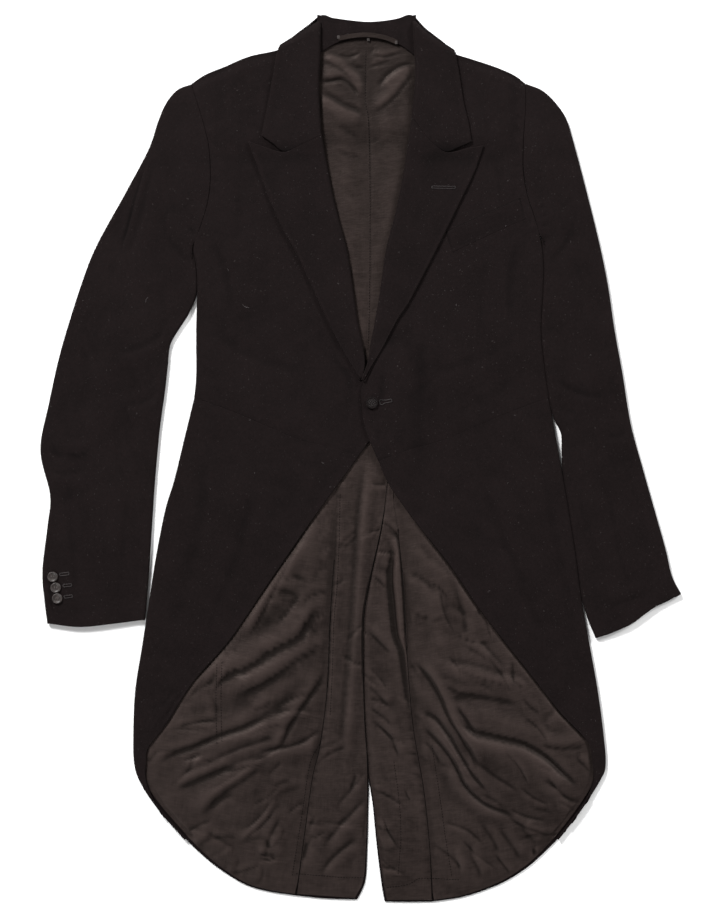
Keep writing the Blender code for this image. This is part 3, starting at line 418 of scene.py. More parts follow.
# Creases in the lining of the back and the tails, and soft ones in the wool. Each row is
# depth and half width of the trough, height and half width of the ridge beside it, the side
# of the ridge, and the points of the line
BACK_CREASES = (
    (0.5, 2.6, 2.2, 6.0, 1.0,
     ((-47.1, 434.1), (-34.5, 435.3), (-20.7, 436.4), (-9.2, 427.2), (-3.4, 415.7))),
    (0.4, 3.0, 2.0, 7.0, -1.0,
     ((-44.8, 423.8), (-34.5, 416.9), (-20.7, 408.8), (-5.8, 401.9), (5.8, 396.2))),
    (0.3, 2.4, 1.6, 5.0, 1.0,
     ((14.9, 397.3), (27.6, 406.5), (40.2, 418.0), (50.6, 431.8), (59.8, 445.6))),
    (0.4, 2.2, 1.8, 4.6, -1.0,
     ((19.5, 427.2), (28.7, 439.9), (40.2, 449.1), (50.6, 453.7), (62.1, 454.8))),
    (0.2, 2.0, 1.2, 4.0, 1.0, ((-44.8, 459.4), (-31.0, 452.5), (-17.2, 443.3), (-4.6, 429.5))),
    (0.2, 2.0, 1.0, 4.0, -1.0, ((-42.5, 470.9), (-26.4, 465.2), (-12.6, 462.9), (1.1, 468.6))),
    (0.2, 2.0, 1.0, 4.0, 1.0, ((12.6, 464.0), (28.7, 462.9), (44.8, 467.5), (59.8, 470.9))),
    (0.2, 2.2, 0.9, 5.0, 1.0, ((-12.6, 452.5), (1.1, 450.2), (19.5, 453.7), (35.6, 459.4))),
    (0.9, 1.6, 0.5, 3.0, -1.0,
     ((5.8, 470.9), (5.2, 436.4), (5.8, 407.7), (8.6, 390.4), (10.3, 330.6), (10.3, 231.7),
      (9.2, 160.4), (8.0, 125.9))),
    (0.28, 4.5, 3.6, 5.5, 1.0,
     ((7.6, 17.8), (2.3, -23.6), (-3.4, -69.6), (-8.0, -138.6), (-12.6, -207.6), (-18.3, -276.6),
      (-21.8, -322.6), (-25.2, -368.6))),
    (0.2, 1.6, 0.8, 3.0, 1.0,
     ((-28.7, -38.5), (-29.9, -99.5), (-32.2, -146.6), (-35.6, -184.6), (-37.9, -250.1),
      (-41.4, -303.0))),
    (0.3, 3.0, 1.9, 6.0, 1.0,
     ((5.8, -388.1), (-8.0, -404.2), (-21.8, -418.0), (-35.6, -435.3), (-44.8, -444.5))),
    (0.3, 3.0, 1.7, 5.0, 1.0,
     ((-1.1, -435.3), (-14.9, -443.3), (-28.7, -454.8), (-39.1, -466.3), (-48.3, -477.8))),
    (0.2, 2.4, 0.9, 4.0, 1.0, ((5.8, -357.1), (-5.8, -374.3), (-18.4, -388.1), (-28.7, -400.8))),
    (0.2, 2.4, 0.9, 4.0, -1.0, ((-70.1, -419.2), (-35.6, -418.0), (2.3, -419.2))),
    (0.9, 3.4, 2.2, 6.0, -1.0,
     ((25.3, -78.8), (36.8, -84.5), (46.0, -98.3), (50.6, -138.6), (52.9, -184.6),
      (57.5, -230.6))),
    (1.2, 4.0, 2.4, 6.5, 1.0,
     ((25.3, -85.7), (35.6, -105.2), (33.3, -137.4), (35.6, -162.7), (40.2, -203.0),
      (47.1, -223.7), (52.9, -265.1), (57.5, -295.0))),
    (0.3, 2.4, 1.2, 5.0, 1.0, ((5.8, -194.9), (14.9, -204.1), (26.4, -215.6), (35.6, -224.8))),
    (0.3, 2.4, 1.2, 5.0, 1.0, ((8.0, -260.5), (14.9, -266.2), (21.8, -273.1), (31.0, -283.5))),
    (0.3, 2.4, 1.2, 5.0, 1.0, ((9.2, -284.6), (17.2, -290.4), (26.4, -297.3), (36.8, -307.6))),
    (0.3, 2.4, 1.3, 5.0, 1.0,
     ((9.2, -299.6), (19.5, -305.3), (27.6, -313.4), (36.8, -324.9), (44.8, -346.7))),
    (0.2, 2.0, 0.8, 4.0, 1.0, ((11.5, -377.8), (21.8, -383.5), (34.5, -388.1))),
    (0.2, 2.0, 0.8, 4.0, 1.0, ((12.6, -419.2), (25.3, -426.1), (40.2, -428.4))),
    (0.2, 2.0, 0.8, 4.0, 1.0, ((14.9, -444.5), (28.7, -449.1), (42.5, -449.1))),
    (0.2, 2.0, 0.9, 4.0, -1.0, ((19.5, -467.5), (33.3, -470.9), (47.1, -467.5))),
)
TAIL_CREASES_R = (
    (0.75, 4.4, 2.4, 7.0, 1.0,
     ((-192.0, -257.0), (-173.6, -258.2), (-152.9, -250.1), (-123.0, -236.3), (-96.6, -219.1),
      (-70.1, -204.1), (-54.0, -176.5), (-32.2, -163.9))),
    (0.7, 4.5, 1.5, 8.0, 1.0,
     ((-148.3, -273.1), (-125.3, -265.1), (-104.6, -253.6), (-79.3, -234.0), (-57.5, -221.4),
      (-35.6, -211.0))),
    (0.8, 3.0, 1.8, 6.0, -1.0,
     ((-37.9, -239.8), (-49.4, -259.3), (-60.9, -276.6), (-79.3, -303.0), (-92.0, -328.3),
      (-102.3, -335.2))),
    (0.6, 3.0, 1.5, 6.0, 1.0,
     ((-41.4, -307.6), (-56.3, -318.0), (-70.1, -326.0), (-92.0, -331.8), (-118.4, -336.4))),
    (0.9, 4.0, 2.0, 8.0, 1.0,
     ((-238.0, -354.8), (-223.1, -342.1), (-190.9, -330.6), (-157.5, -316.8), (-131.1, -307.6),
      (-101.2, -292.7))),
    (0.6, 4.0, 1.6, 7.0, 1.0,
     ((-212.7, -368.6), (-179.4, -351.3), (-144.9, -334.1), (-109.2, -321.4), (-87.4, -312.2))),
    (0.6, 4.0, 1.4, 7.0, 1.0,
     ((-219.6, -381.2), (-192.0, -370.9), (-166.8, -360.5), (-139.1, -350.2))),
    (0.6, 4.0, 1.4, 7.0, 1.0,
     ((-185.1, -412.3), (-162.1, -387.0), (-131.1, -365.1), (-109.2, -350.2))),
    (0.0, 3.0, 2.6, 5.0, 1.0,
     ((-64.4, -81.1), (-83.9, -111.0), (-109.2, -150.1), (-132.2, -184.6), (-143.8, -203.0))),
    (0.8, 2.6, 0.8, 5.0, -1.0,
     ((-56.3, -77.6), (-79.3, -111.0), (-101.2, -152.4), (-118.4, -184.6), (-131.1, -205.3))),
    (0.3, 2.4, 1.0, 5.0, 1.0,
     ((-70.1, -168.5), (-59.8, -158.1), (-47.1, -152.4), (-33.3, -150.1))),
    (0.2, 2.0, 0.7, 4.0, 1.0,
     ((-223.1, -309.9), (-202.4, -309.9), (-185.1, -311.1), (-164.4, -311.1))),
    (0.3, 3.0, 1.0, 5.0, -1.0,
     ((-198.9, -423.8), (-178.2, -428.4), (-157.5, -439.9), (-139.1, -451.4))),
    (0.3, 3.0, 1.0, 5.0, 1.0,
     ((-143.8, -444.5), (-125.3, -436.4), (-109.2, -437.6), (-97.7, -462.9))),
    (0.2, 2.6, 0.9, 5.0, 1.0,
     ((-113.8, -398.5), (-97.7, -387.0), (-81.6, -380.1), (-65.5, -375.5))),
    (0.2, 2.6, 0.8, 5.0, -1.0, ((-178.2, -265.1), (-166.8, -283.5), (-169.0, -301.9))),
    (0.2, 2.0, 0.8, 4.0, 1.0, ((-104.6, -449.1), (-92.0, -435.3), (-88.5, -421.5))),
    (0.2, 2.0, 0.8, 3.6, 1.0, ((-31.0, -46.6), (-40.2, -53.5), (-50.6, -65.0))),
    (0.2, 2.0, 0.8, 3.6, 1.0, ((-31.0, -74.2), (-41.4, -78.8), (-54.0, -90.3))),
    (0.2, 2.0, 0.8, 3.6, 1.0, ((-31.0, -98.3), (-41.4, -102.9), (-51.7, -111.0))),
    (0.2, 2.0, 0.8, 3.6, 1.0, ((-32.2, -122.5), (-42.5, -124.8), (-54.0, -134.0))),
    (0.3, 2.6, 1.0, 5.0, 1.0, ((-196.6, -449.1), (-180.5, -439.9), (-169.0, -426.1))),
    (0.2, 2.4, 0.8, 4.4, 1.0, ((-155.2, -483.6), (-143.8, -469.8), (-139.1, -456.0))),
    (0.2, 2.4, 0.8, 4.4, 1.0, ((-120.7, -492.8), (-113.8, -479.0), (-113.8, -465.2))),
)
TAIL_CREASES_L = (
    (1.0, 2.8, 2.2, 5.0, 1.0,
     ((56.3, -229.4), (74.8, -246.7), (89.7, -270.8), (101.2, -297.3), (119.6, -326.0),
      (139.1, -357.1))),
    (0.9, 2.6, 2.0, 4.6, -1.0,
     ((64.4, -289.2), (85.1, -297.3), (97.7, -313.4), (109.2, -331.8), (126.5, -360.5),
      (150.6, -388.1))),
    (0.9, 2.6, 2.0, 5.0, -1.0,
     ((66.7, -303.0), (89.7, -326.0), (105.8, -346.7), (117.3, -370.9), (129.9, -387.0),
      (146.0, -398.5), (171.3, -408.8), (186.3, -418.0))),
    (1.5, 3.6, 2.4, 8.0, -1.0,
     ((106.9, -299.6), (129.9, -313.4), (161.0, -321.4), (187.4, -328.3), (211.6, -342.1),
      (232.3, -360.5), (254.1, -380.1))),
    (0.6, 5.0, 1.8, 8.0, -1.0,
     ((86.2, -229.4), (108.1, -232.9), (129.9, -236.3), (161.0, -244.4), (182.8, -250.1),
      (208.1, -265.1))),
    (0.5, 3.0, 1.5, 6.0, 1.0,
     ((203.5, -324.9), (217.3, -330.6), (232.3, -331.8), (261.0, -329.5))),
    (0.4, 2.4, 1.2, 4.0, 1.0, ((247.2, -343.3), (256.4, -351.3), (265.6, -361.7))),
    (0.4, 2.6, 1.2, 5.0, -1.0, ((50.6, -131.7), (59.8, -132.8), (70.1, -137.4), (86.2, -152.4))),
    (0.0, 3.0, 1.6, 7.0, 1.0, ((71.3, -147.8), (75.9, -173.1), (80.5, -196.1), (87.4, -226.0))),
    (0.4, 4.0, 1.2, 7.0, 1.0,
     ((105.8, -138.6), (115.0, -169.6), (119.6, -186.9), (120.7, -207.6))),
    (0.3, 4.0, 1.0, 6.0, -1.0, ((63.2, -92.6), (79.3, -111.0), (95.4, -122.5), (111.5, -138.6))),
    (0.4, 4.0, 1.0, 6.0, 1.0, ((97.7, -276.6), (125.3, -272.0), (159.8, -276.6), (187.4, -283.5))),
    (0.4, 3.0, 1.2, 6.0, 1.0, ((228.8, -265.1), (224.2, -285.8), (208.1, -301.9))),
    (0.3, 3.0, 1.0, 5.0, 1.0,
     ((125.3, -439.9), (127.6, -456.0), (134.5, -469.8), (139.1, -483.6))),
    (0.3, 3.0, 1.2, 6.0, 1.0,
     ((157.5, -423.8), (169.0, -437.6), (178.2, -451.4), (185.1, -462.9))),
    (0.3, 3.0, 1.2, 6.0, 1.0, ((182.8, -421.5), (193.2, -433.0), (203.5, -444.5))),
    (0.4, 2.6, 1.2, 4.6, -1.0,
     ((205.8, -366.3), (224.2, -377.8), (238.0, -391.6), (249.5, -398.5))),
    (0.2, 2.0, 0.8, 4.0, 1.0, ((104.6, -449.1), (111.5, -462.9), (115.0, -481.3))),
)
# Long, low swells of the lining over the padding behind it: x, y, half widths, height
TAIL_SWELLS_R = ((-60.0, -110.0, 30.0, 60.0, 1.2), (-120.0, -250.0, 50.0, 40.0, 1.6),
                 (-110.0, -330.0, 60.0, 40.0, 1.8), (-150.0, -390.0, 60.0, 40.0, 1.4),
                 (-110.0, -440.0, 50.0, 30.0, 1.0))
TAIL_SWELLS_L = ((80.0, -160.0, 26.0, 60.0, 1.4), (120.0, -240.0, 50.0, 30.0, 1.8),
                 (150.0, -310.0, 60.0, 40.0, 2.0), (190.0, -360.0, 60.0, 40.0, 1.6),
                 (120.0, -430.0, 40.0, 50.0, 1.2))
FRONT_CREASES_R = (
    (0.5, 7.0, 0.6, 10.0, 1.0,
     ((-173.6, 252.4), (-159.8, 227.1), (-150.6, 194.9), (-148.3, 160.4))),
    (0.4, 8.0, 0.5, 12.0, -1.0,
     ((-167.9, 148.9), (-139.1, 125.9), (-104.6, 112.1), (-64.4, 100.6))),
    (0.3, 8.0, 0.5, 10.0, 1.0, ((-93.1, 401.9), (-97.7, 355.9), (-132.2, 309.9), (-139.1, 269.7))),
    (0.5, 5.0, 0.6, 8.0, 1.0, ((-35.6, 123.6), (-24.1, 108.7), (-12.6, 91.4), (-10.3, 70.7))),
)
FRONT_CREASES_L = (
    (0.5, 7.0, 0.6, 10.0, -1.0, ((182.8, 258.2), (173.6, 227.1), (169.0, 192.6), (171.3, 158.1))),
    (0.4, 8.0, 0.5, 12.0, 1.0, ((182.8, 148.9), (150.6, 123.6), (108.1, 107.5), (67.8, 96.0))),
    (0.3, 8.0, 0.5, 10.0, -1.0, ((136.8, 413.4), (148.3, 355.9), (159.8, 309.9), (165.6, 269.7))),
    (0.5, 6.0, 0.7, 8.0, -1.0, ((39.1, 125.9), (26.4, 100.6), (21.8, 77.6), (26.4, 51.2))),
)
SKIRT_CREASES_R = (
    (0.4, 9.0, 0.6, 14.0, 1.0,
     ((-179.4, 22.4), (-185.1, -69.6), (-208.1, -161.6), (-225.4, -230.6))),
    (0.4, 8.0, 0.6, 12.0, -1.0,
     ((-121.9, -12.1), (-139.1, -92.6), (-167.9, -173.1), (-196.6, -242.1))),
    (0.5, 3.0, 0.8, 4.0, 1.0,
     ((-196.6, -262.8), (-212.7, -278.9), (-224.2, -295.0), (-235.7, -308.8))),
    (0.4, 3.0, 0.7, 4.0, 1.0,
     ((-212.7, -265.1), (-226.5, -281.2), (-238.0, -299.6), (-249.5, -320.3))),
    (0.3, 3.0, 0.6, 4.0, 1.0, ((-231.1, -276.6), (-242.6, -295.0), (-251.8, -313.4))),
)
SKIRT_CREASES_L = (
    (0.4, 9.0, 0.6, 14.0, -1.0, ((205.8, 10.9), (219.6, -69.6), (240.3, -161.6), (254.1, -230.6))),
    (0.4, 8.0, 0.6, 12.0, 1.0, ((136.8, -23.6), (165.6, -92.6), (194.3, -161.6), (224.2, -230.6))),
    (0.4, 3.0, 0.7, 4.0, -1.0,
     ((224.2, -285.8), (240.3, -299.6), (251.8, -315.7), (263.3, -331.8))),
)
SLEEVE_CREASES_R = (
    (1.0, 2.2, 0.9, 2.4, 1.0,
     ((-240.3, 369.7), (-249.5, 335.2), (-258.8, 303.0), (-267.9, 268.5), (-278.3, 234.0))),
    (0.8, 1.6, 0.4, 1.6, 1.0,
     ((-362.2, -111.0), (-358.8, -129.4), (-356.5, -150.1), (-355.3, -168.5), (-353.0, -191.5))),
    (0.0, 9.0, 1.2, 12.0, 1.0,
     ((-288.6, 183.4), (-304.8, 114.4), (-318.5, 45.4), (-323.1, -12.1))),
    (0.7, 4.0, 0.9, 6.0, 1.0, ((-362.2, 15.5), (-348.4, 8.6), (-330.0, 5.2), (-309.3, 8.6))),
    (0.6, 4.0, 0.8, 6.0, -1.0, ((-357.6, -14.4), (-339.2, -16.7), (-318.5, -12.1))),
    (0.5, 5.0, 0.8, 7.0, 1.0,
     ((-221.9, 148.9), (-242.6, 135.1), (-263.3, 125.9), (-286.3, 123.6))),
    (0.5, 5.0, 0.7, 7.0, 1.0, ((-231.1, 77.6), (-249.5, 66.1), (-272.5, 61.5))),
    (0.6, 5.0, 0.8, 7.0, -1.0,
     ((-196.6, 227.1), (-210.4, 240.9), (-221.9, 261.6), (-226.5, 286.9))),
    (0.4, 6.0, 0.6, 8.0, 1.0,
     ((-242.6, 355.9), (-247.2, 309.9), (-258.8, 263.9), (-277.1, 217.9))),
    (0.4, 6.0, 0.6, 8.0, -1.0, ((-334.6, -69.6), (-332.3, -115.6), (-327.8, -161.6))),
    (0.3, 5.0, 0.5, 7.0, -1.0, ((-265.6, -12.1), (-272.5, -69.6), (-274.8, -127.1))),
)
SLEEVE_CREASES_L = (
    (0.6, 5.0, 0.8, 7.0, 1.0, ((215.0, 227.1), (228.8, 240.9), (240.3, 261.6), (244.9, 291.5))),
    (0.5, 6.0, 0.7, 8.0, -1.0, ((251.8, 355.9), (258.8, 309.9), (265.6, 263.9), (272.5, 217.9))),
    (0.5, 5.0, 0.8, 7.0, -1.0, ((224.2, 91.4), (242.6, 79.9), (263.3, 73.0), (281.8, 75.3))),
    (0.5, 5.0, 0.8, 7.0, 1.0, ((316.2, 33.9), (297.8, 27.0), (279.4, 24.7))),
    (0.5, 6.0, 0.6, 8.0, 1.0, ((274.8, -0.6), (288.6, -58.1), (300.1, -115.6), (311.6, -161.6))),
    (0.4, 6.0, 0.6, 8.0, -1.0, ((247.2, -23.6), (261.0, -81.1), (272.5, -138.6))),
    (0.4, 4.0, 0.6, 6.0, 1.0, ((286.3, -168.5), (309.3, -159.3), (334.6, -150.1))),
)

# Puckers along the seams of the back's lining: points of the seam, distance from one pucker
# to the next, height and half width
BACK_PUCKERS_R = (
    (((-28.7, -38.5), (-29.9, -99.5), (-32.2, -146.6), (-35.6, -184.6), (-37.9, -250.1)),
     9.0, 0.35, 8.0),
    (((-41.4, -303.0), (-55.2, -359.4), (-65.5, -435.3), (-74.8, -488.2)), 12.0, 0.35, 7.0),
)
BACK_PUCKERS_L = (
    (((37.9, -347.9), (46.0, -431.8), (42.5, -482.4)), 7.0, 0.3, 9.0),
    (((52.9, -223.7), (57.5, -299.6), (72.4, -381.2), (82.8, -495.1)), 11.0, 0.35, 6.0),
)
# Small creases strewn over the back's lining: seed, number, area as x0, y0, x1, y1, heading
# in degrees on the left and mirrored on the right, least and greatest length, and depth
BACK_SCATTER = ((61, 26, (-45, -20, 35, 495), 20.0, (12, 40), 0.4),
                (62, 60, (-70, -500, 80, -20), -35.0, (12, 42), 0.9))

# Sewn lines on the lining: x, y
LINING_STITCHES = (
    ((-46.0, -324.9), (-58.6, -350.2), (-66.7, -400.8), (-72.4, -437.6), (-79.3, -480.1)),
    ((-165.6, -235.2), (-166.8, -276.6), (-165.6, -328.3)),
    ((-159.8, -232.9), (-161.0, -276.6), (-159.8, -327.2)),
    ((-74.8, -476.7), (-47.1, -479.0), (-18.4, -481.3), (4.6, -481.3)),
    ((81.6, -328.3), (89.7, -381.2), (97.7, -437.6), (104.6, -481.3)),
    ((37.9, -347.9), (43.7, -391.6), (46.0, -431.8), (42.5, -480.1)),
    ((29.9, -492.8), (54.0, -489.3), (66.7, -482.4), (82.8, -482.4), (113.8, -483.6)),
    ((5.8, 470.9), (5.2, 436.4), (5.8, 407.7), (8.6, 390.4), (10.3, 330.6), (10.3, 231.7),
     (9.2, 160.4), (8.0, 125.9)),
    ((-24.1, -39.7), (-25.3, -99.5), (-27.6, -146.6), (-31.0, -184.6), (-33.3, -250.1),
     (-35.6, -295.0)),
)
# Buttonholes: x, y at the two ends, half width of the loop, radius of its cord, and whether
# the loop has an eye
HOLES = (
    ((-346.1, -132.4), (-336.0, -131.2), 1.4, 0.40, False),
    ((-342.1, -145.2), (-332.9, -144.3), 1.4, 0.40, False),
    ((-340.9, -158.1), (-332.1, -157.2), 1.4, 0.40, False),
    ((81.6, 312.7), (108.1, 312.2), 1.2, 0.36, False),
    ((21.8, 65.4), (35.1, 67.7), 1.5, 0.42, True),
)
# Tacks of the hanger loop: x, y
TACKS = ((-25.8, 485.3), (8.5, 482.9), (40.6, 479.0))
# Lint caught on the wool: x, y, length, turn in degrees
LINT = (
    ((139.1, 431.8), 2.2, 30.0), ((241.5, 250.1), 2.6, 80.0), ((169.0, 320.3), 1.6, 10.0),
    ((-132.2, 176.5), 9.0, -25.0), ((-24.1, 252.4), 1.8, 60.0), ((-26.4, 201.8), 2.0, -40.0),
    ((151.8, 54.6), 2.2, 20.0), ((169.0, -27.0), 2.0, 75.0), ((-173.6, -33.9), 3.0, -70.0),
    ((346.1, -108.7), 1.6, 0.0), ((0.0, -235.2), 2.4, 50.0), ((-142.6, 377.8), 1.8, 10.0),
    ((109.2, 177.7), 3.2, 85.0), ((-43.7, -4.0), 4.0, -35.0), ((-35.6, -31.6), 2.2, 15.0),
    ((147.2, -151.2), 3.4, 10.0), ((-86.2, 358.2), 2.0, 30.0), ((-246.1, 183.4), 7.0, 65.0),
    ((-152.9, 217.9), 3.0, -60.0), ((54.0, 360.5), 1.6, 0.0), ((263.3, 120.2), 2.4, 45.0),
    ((177.1, 51.2), 3.0, 5.0), ((-127.6, 45.4), 2.2, 85.0), ((-225.4, -69.6), 2.6, -15.0),
)

# The outer face of each wall: its points, in millimetres where they lie, and its quads
LAID = {}


def step(value, low, high):
    """Rise smoothly from 0 at low to 1 at high: 3t^2 - 2t^3 of the clipped fraction t."""
    part = np.clip((value - low) / (high - low), 0.0, 1.0)
    return part * part * (3.0 - 2.0 * part)


def even(count):
    """Evenly spaced fractions from 0 to 1."""
    return np.linspace(0.0, 1.0, count)


def lengths(line):
    """Fraction of a line's length at each of its points."""
    run = np.concatenate([[0.0], np.cumsum(np.hypot(*np.diff(line, axis=0).T))])
    return run / run[-1]


def flowing(points, rows):
    """Points on a smooth line through the table; rows counts its rows, 1.5 is halfway on.

    Between two rows the line is the cubic of Catmull and Rom through the four nearest."""
    knots = np.asarray(points, float)
    ends = np.vstack([2 * knots[0] - knots[1], knots, 2 * knots[-1] - knots[-2]])
    rows = np.asarray(rows, float)
    first = np.clip(rows.astype(int), 0, len(knots) - 2)
    t = (rows - first)[:, None]
    a, b, c, d = (ends[first + k] for k in range(4))
    return 0.5 * (2 * b + (c - a) * t + (2 * a - 5 * b + 4 * c - d) * t ** 2
                  + (3 * b - a - 3 * c + d) * t ** 3)


def smooth(points, at):
    """Points at fractions of the length of the smooth line through the table."""
    fine = flowing(points, np.linspace(0.0, len(points) - 1.0, 12 * (len(points) - 1) + 1))
    where = lengths(fine)
    return np.stack([np.interp(at, where, fine[:, k]) for k in (0, 1)], axis=1)


def at_heights(points, heights):
    """Points where a falling smooth line crosses the given heights in Y."""
    fine = smooth(points, even(400))[::-1]
    heights = np.asarray(heights, float)
    return np.stack([np.interp(heights, fine[:, 1], fine[:, 0]), heights], axis=1)


def sideways(line, by):
    """A copy of a line moved along X, the same at all its points or by one each."""
    return np.asarray(line, float) + np.outer(by, (1.0, 0.0))


def inward(line, other):
    """Unit directions in plan square to a line and pointing to the other line."""
    along = np.gradient(line, axis=0)
    along /= np.linalg.norm(along, axis=1)[:, None]
    square = np.stack([-along[:, 1], along[:, 0]], axis=1)
    toward = np.sum(square * (other - line))
    return square * (-1.0 if toward < 0.0 else 1.0)


def bulge(line, across, start=None, end=None):
    """How far a head or foot line lies from the straight line between its ends.

    With other ends given, the bulge is measured from the line between those, and fades
    to 0 at them."""
    if start is None:
        return line - (1 - across)[:, None] * line[0] - across[:, None] * line[-1]
    inside = (step(across, 0.0, 0.03) * (1.0 - step(across, 0.97, 1.0)))[:, None]
    return (line - (1 - across)[:, None] * start - across[:, None] * end) * inside


def stretch(left, right, head, foot, across, down, fading):
    """A grid in plan: straight across from side to side, with the bulges of the head and
    the foot fading away from them, as (1 - v)^fading and v^fading."""
    u = across[None, :, None]
    v = down[:, None, None]
    sides = (1 - u) * left[:, None] + u * right[:, None]
    return sides + (1 - v) ** fading * head + v ** fading * foot


def turned(direction, rim, shape):
    """Columns that carry the outer face round an edge: an arc, then a lip under it.

    At the angle a the arc lies reach * sin(a) outside the rim and tall * (1 - cos(a))
    below it. The shape gives the reach, the last angle, the height where the turn ends,
    the length of the lip and the number of steps."""
    reach, degrees, low, lip, steps = shape
    quarter = degrees < 120.0
    end = low + lip if quarter else low
    tall = (rim[:, 2] - end) / (1.0 - math.cos(math.radians(degrees)))
    columns = []
    for angle in np.radians(np.linspace(0.0, degrees, steps + 1))[1:]:
        plan = rim[:, :2] - direction * (reach * math.sin(angle))
        high = rim[:, 2] - tall * (1.0 - math.cos(angle))
        columns.append(np.column_stack([plan, high]))
    if np.any(lip):
        for part in (0.5, 1.0):
            aside = -reach if quarter else lip * part
            plan = rim[:, :2] + direction * np.reshape(aside, (-1, 1))
            high = end + (low - end) * part
            columns.append(np.column_stack([plan, high + np.zeros(len(rim))]))
    return columns


def panel(left, right, head, foot, height, left_turn=None, right_turn=None, fading=1.0,
          down=None, hugging=False):
    """The outer face of one piece as rows of points.

    left and right are points from head to foot, head and foot points from left to right.
    The height rule gets x, y and the fractions across and down. A turn at a side takes its
    reach out of the piece, so that the outline stays on the edge line."""
    across = lengths(head)
    if down is None:
        down = lengths(left)
    away = [inward(left, right), inward(right, left)]
    rims = [line + direction * (shape[0] if shape else 0.0) for line, direction, shape
            in zip((left, right), away, (left_turn, right_turn))]
    ends = (rims[0][0], rims[1][0]) if hugging else ()
    plan = stretch(*rims, bulge(head, across, *ends), bulge(foot, across), across, down, fading)
    high = height(plan[..., 0], plan[..., 1], across[None, :], down[:, None])
    grid = np.dstack([plan, high + np.zeros(plan.shape[:2])])
    parts = [grid]
    if left_turn:
        parts.insert(0, np.stack(turned(away[0], grid[:, 0], left_turn)[::-1], axis=1))
    if right_turn:
        parts.append(np.stack(turned(away[1], grid[:, -1], right_turn), axis=1))
    return np.concatenate(parts, axis=1)


def around(x, y, line, reach):
    """Where x, y lie no further than the reach outside the bounds of the line."""
    low, high = line.min(axis=0) - reach, line.max(axis=0) + reach
    return (x > low[0]) & (x < high[0]) & (y > low[1]) & (y < high[1])


def beside(at, run, aside, turn):
    """Points at these distances along and beside a direction turned by the angle."""
    return np.stack([at[0] + run * math.cos(turn) - aside * math.sin(turn),
                     at[1] + run * math.sin(turn) + aside * math.cos(turn)], axis=1)


def creased(x, y, lines, cut=1.0, lift=1.0):
    """Height of the creases at x, y.

    At the distance d from a line, which is negative on its right, and with the ridge on its
    side s, a crease adds lift * tall * exp(-((s * d - 1.2 * wide) / (1.45 * wide))^2) and
    takes away cut * deep * exp(-(d / narrow)^2). Both fade at the ends of the line."""
    total = np.zeros(np.broadcast(x, y).shape)
    samples = 81
    for deep, narrow, tall, wide, side, points in lines:
        line = smooth(points, even(samples))
        close = around(x, y, line, 4.5 * wide + 2.0 * narrow)
        if not np.any(close):
            continue
        along = np.gradient(line, axis=0)
        pace = np.linalg.norm(along, axis=1)
        along /= pace[:, None]
        gap_x = x[close][:, None] - line[:, 0]
        gap_y = y[close][:, None] - line[:, 1]
        near = np.argmin(gap_x ** 2 + gap_y ** 2, axis=1)
        row = np.arange(len(near))
        gap_x, gap_y = gap_x[row, near], gap_y[row, near]
        far = along[near, 0] * gap_y - along[near, 1] * gap_x
        run = near + (along[near, 0] * gap_x + along[near, 1] * gap_y) / pace[near]
        run = run / (samples - 1.0)
        ends = step(run, 0.0, 0.22) * (1.0 - step(run, 0.78, 1.0))
        ridge = tall * np.exp(-((side * far - 1.2 * wide) / (1.45 * wide)) ** 2)
        trough = deep * np.exp(-(far / narrow) ** 2)
        total[close] += ends * (lift * ridge - cut * trough)
    return total


def scattered(seed, count, area, heading, long, deep):
    """Small uneven creases in an area (x0, y0, x1, y1), running near a heading in degrees."""
    draw = np.random.default_rng(seed)
    lines = []
    for _ in range(count):
        x = draw.uniform(area[0], area[2])
        y = draw.uniform(area[1], area[3])
        turn = math.radians(heading + draw.normal(0.0, 22.0))
        reach = draw.uniform(*long) / 2 * np.array([-1.0, 0.0, 1.0])
        bend = draw.uniform(-0.2, 0.2) * reach[2] * np.array([0.0, 1.0, 0.0])
        points = beside((x, y), reach, bend, turn)
        size = draw.uniform(0.5, 1.0)
        wide = draw.uniform(2.0, 4.5)
        lines.append((deep * size * 1.4, wide * 0.6, deep * size * 0.8, wide,
                      draw.choice((-1.0, 1.0)), tuple(map(tuple, points))))
    return tuple(lines)


def swelling(x, y, swells):
    """Height of long low swells: tall * exp(-((x - x0) / a)^2 - ((y - y0) / b)^2) each."""
    total = np.zeros(np.broadcast(x, y).shape)
    for at_x, at_y, half_x, half_y, tall in swells:
        total += tall * np.exp(-((x - at_x) / half_x) ** 2 - ((y - at_y) / half_y) ** 2)
    return total


def drape(x, y, tall, longest, seed):
    """Slow unevenness of lying cloth: a sum of eight sine waves in mixed directions."""
    draw = np.random.default_rng(seed)
    total = np.zeros(np.broadcast(x, y).shape)
    for _ in range(8):
        turn = draw.uniform(0.0, math.pi)
        wave = longest * draw.uniform(0.35, 1.0)
        shift = draw.uniform(0.0, 2 * math.pi)
        total += np.sin((x * math.cos(turn) + y * math.sin(turn)) * 2 * math.pi / wave + shift)
    return total * tall / 4.0


def neck_lift(x, y, lead):
    """How far the collar's back fall lifts a layer at the neck.

    lead is how much further out the slope lies for this layer than for the back."""
    near = 1.0 - step(np.abs(x - 7.0), 112.0 + lead, 140.0 + lead)
    return NECK_LIFT * step(y, NECK_LIFT_END[0] - lead, NECK_LIFT_END[1] - lead) * near


def front_height(x, y):
    """Upper face of the fronts without the buttoning."""
    chest = np.exp(-((np.abs(x - 7.0) - 105.0) / 55.0) ** 2 - ((y - 215.0) / 90.0) ** 2)
    sinking = 0.6 * step(-y, 60.0, 320.0)
    uneven = drape(x, y, 0.28, 150.0, 4)
    return FRONT_TOP + 0.8 * chest + neck_lift(x, y, FRONT_LEAD) - sinking + uneven


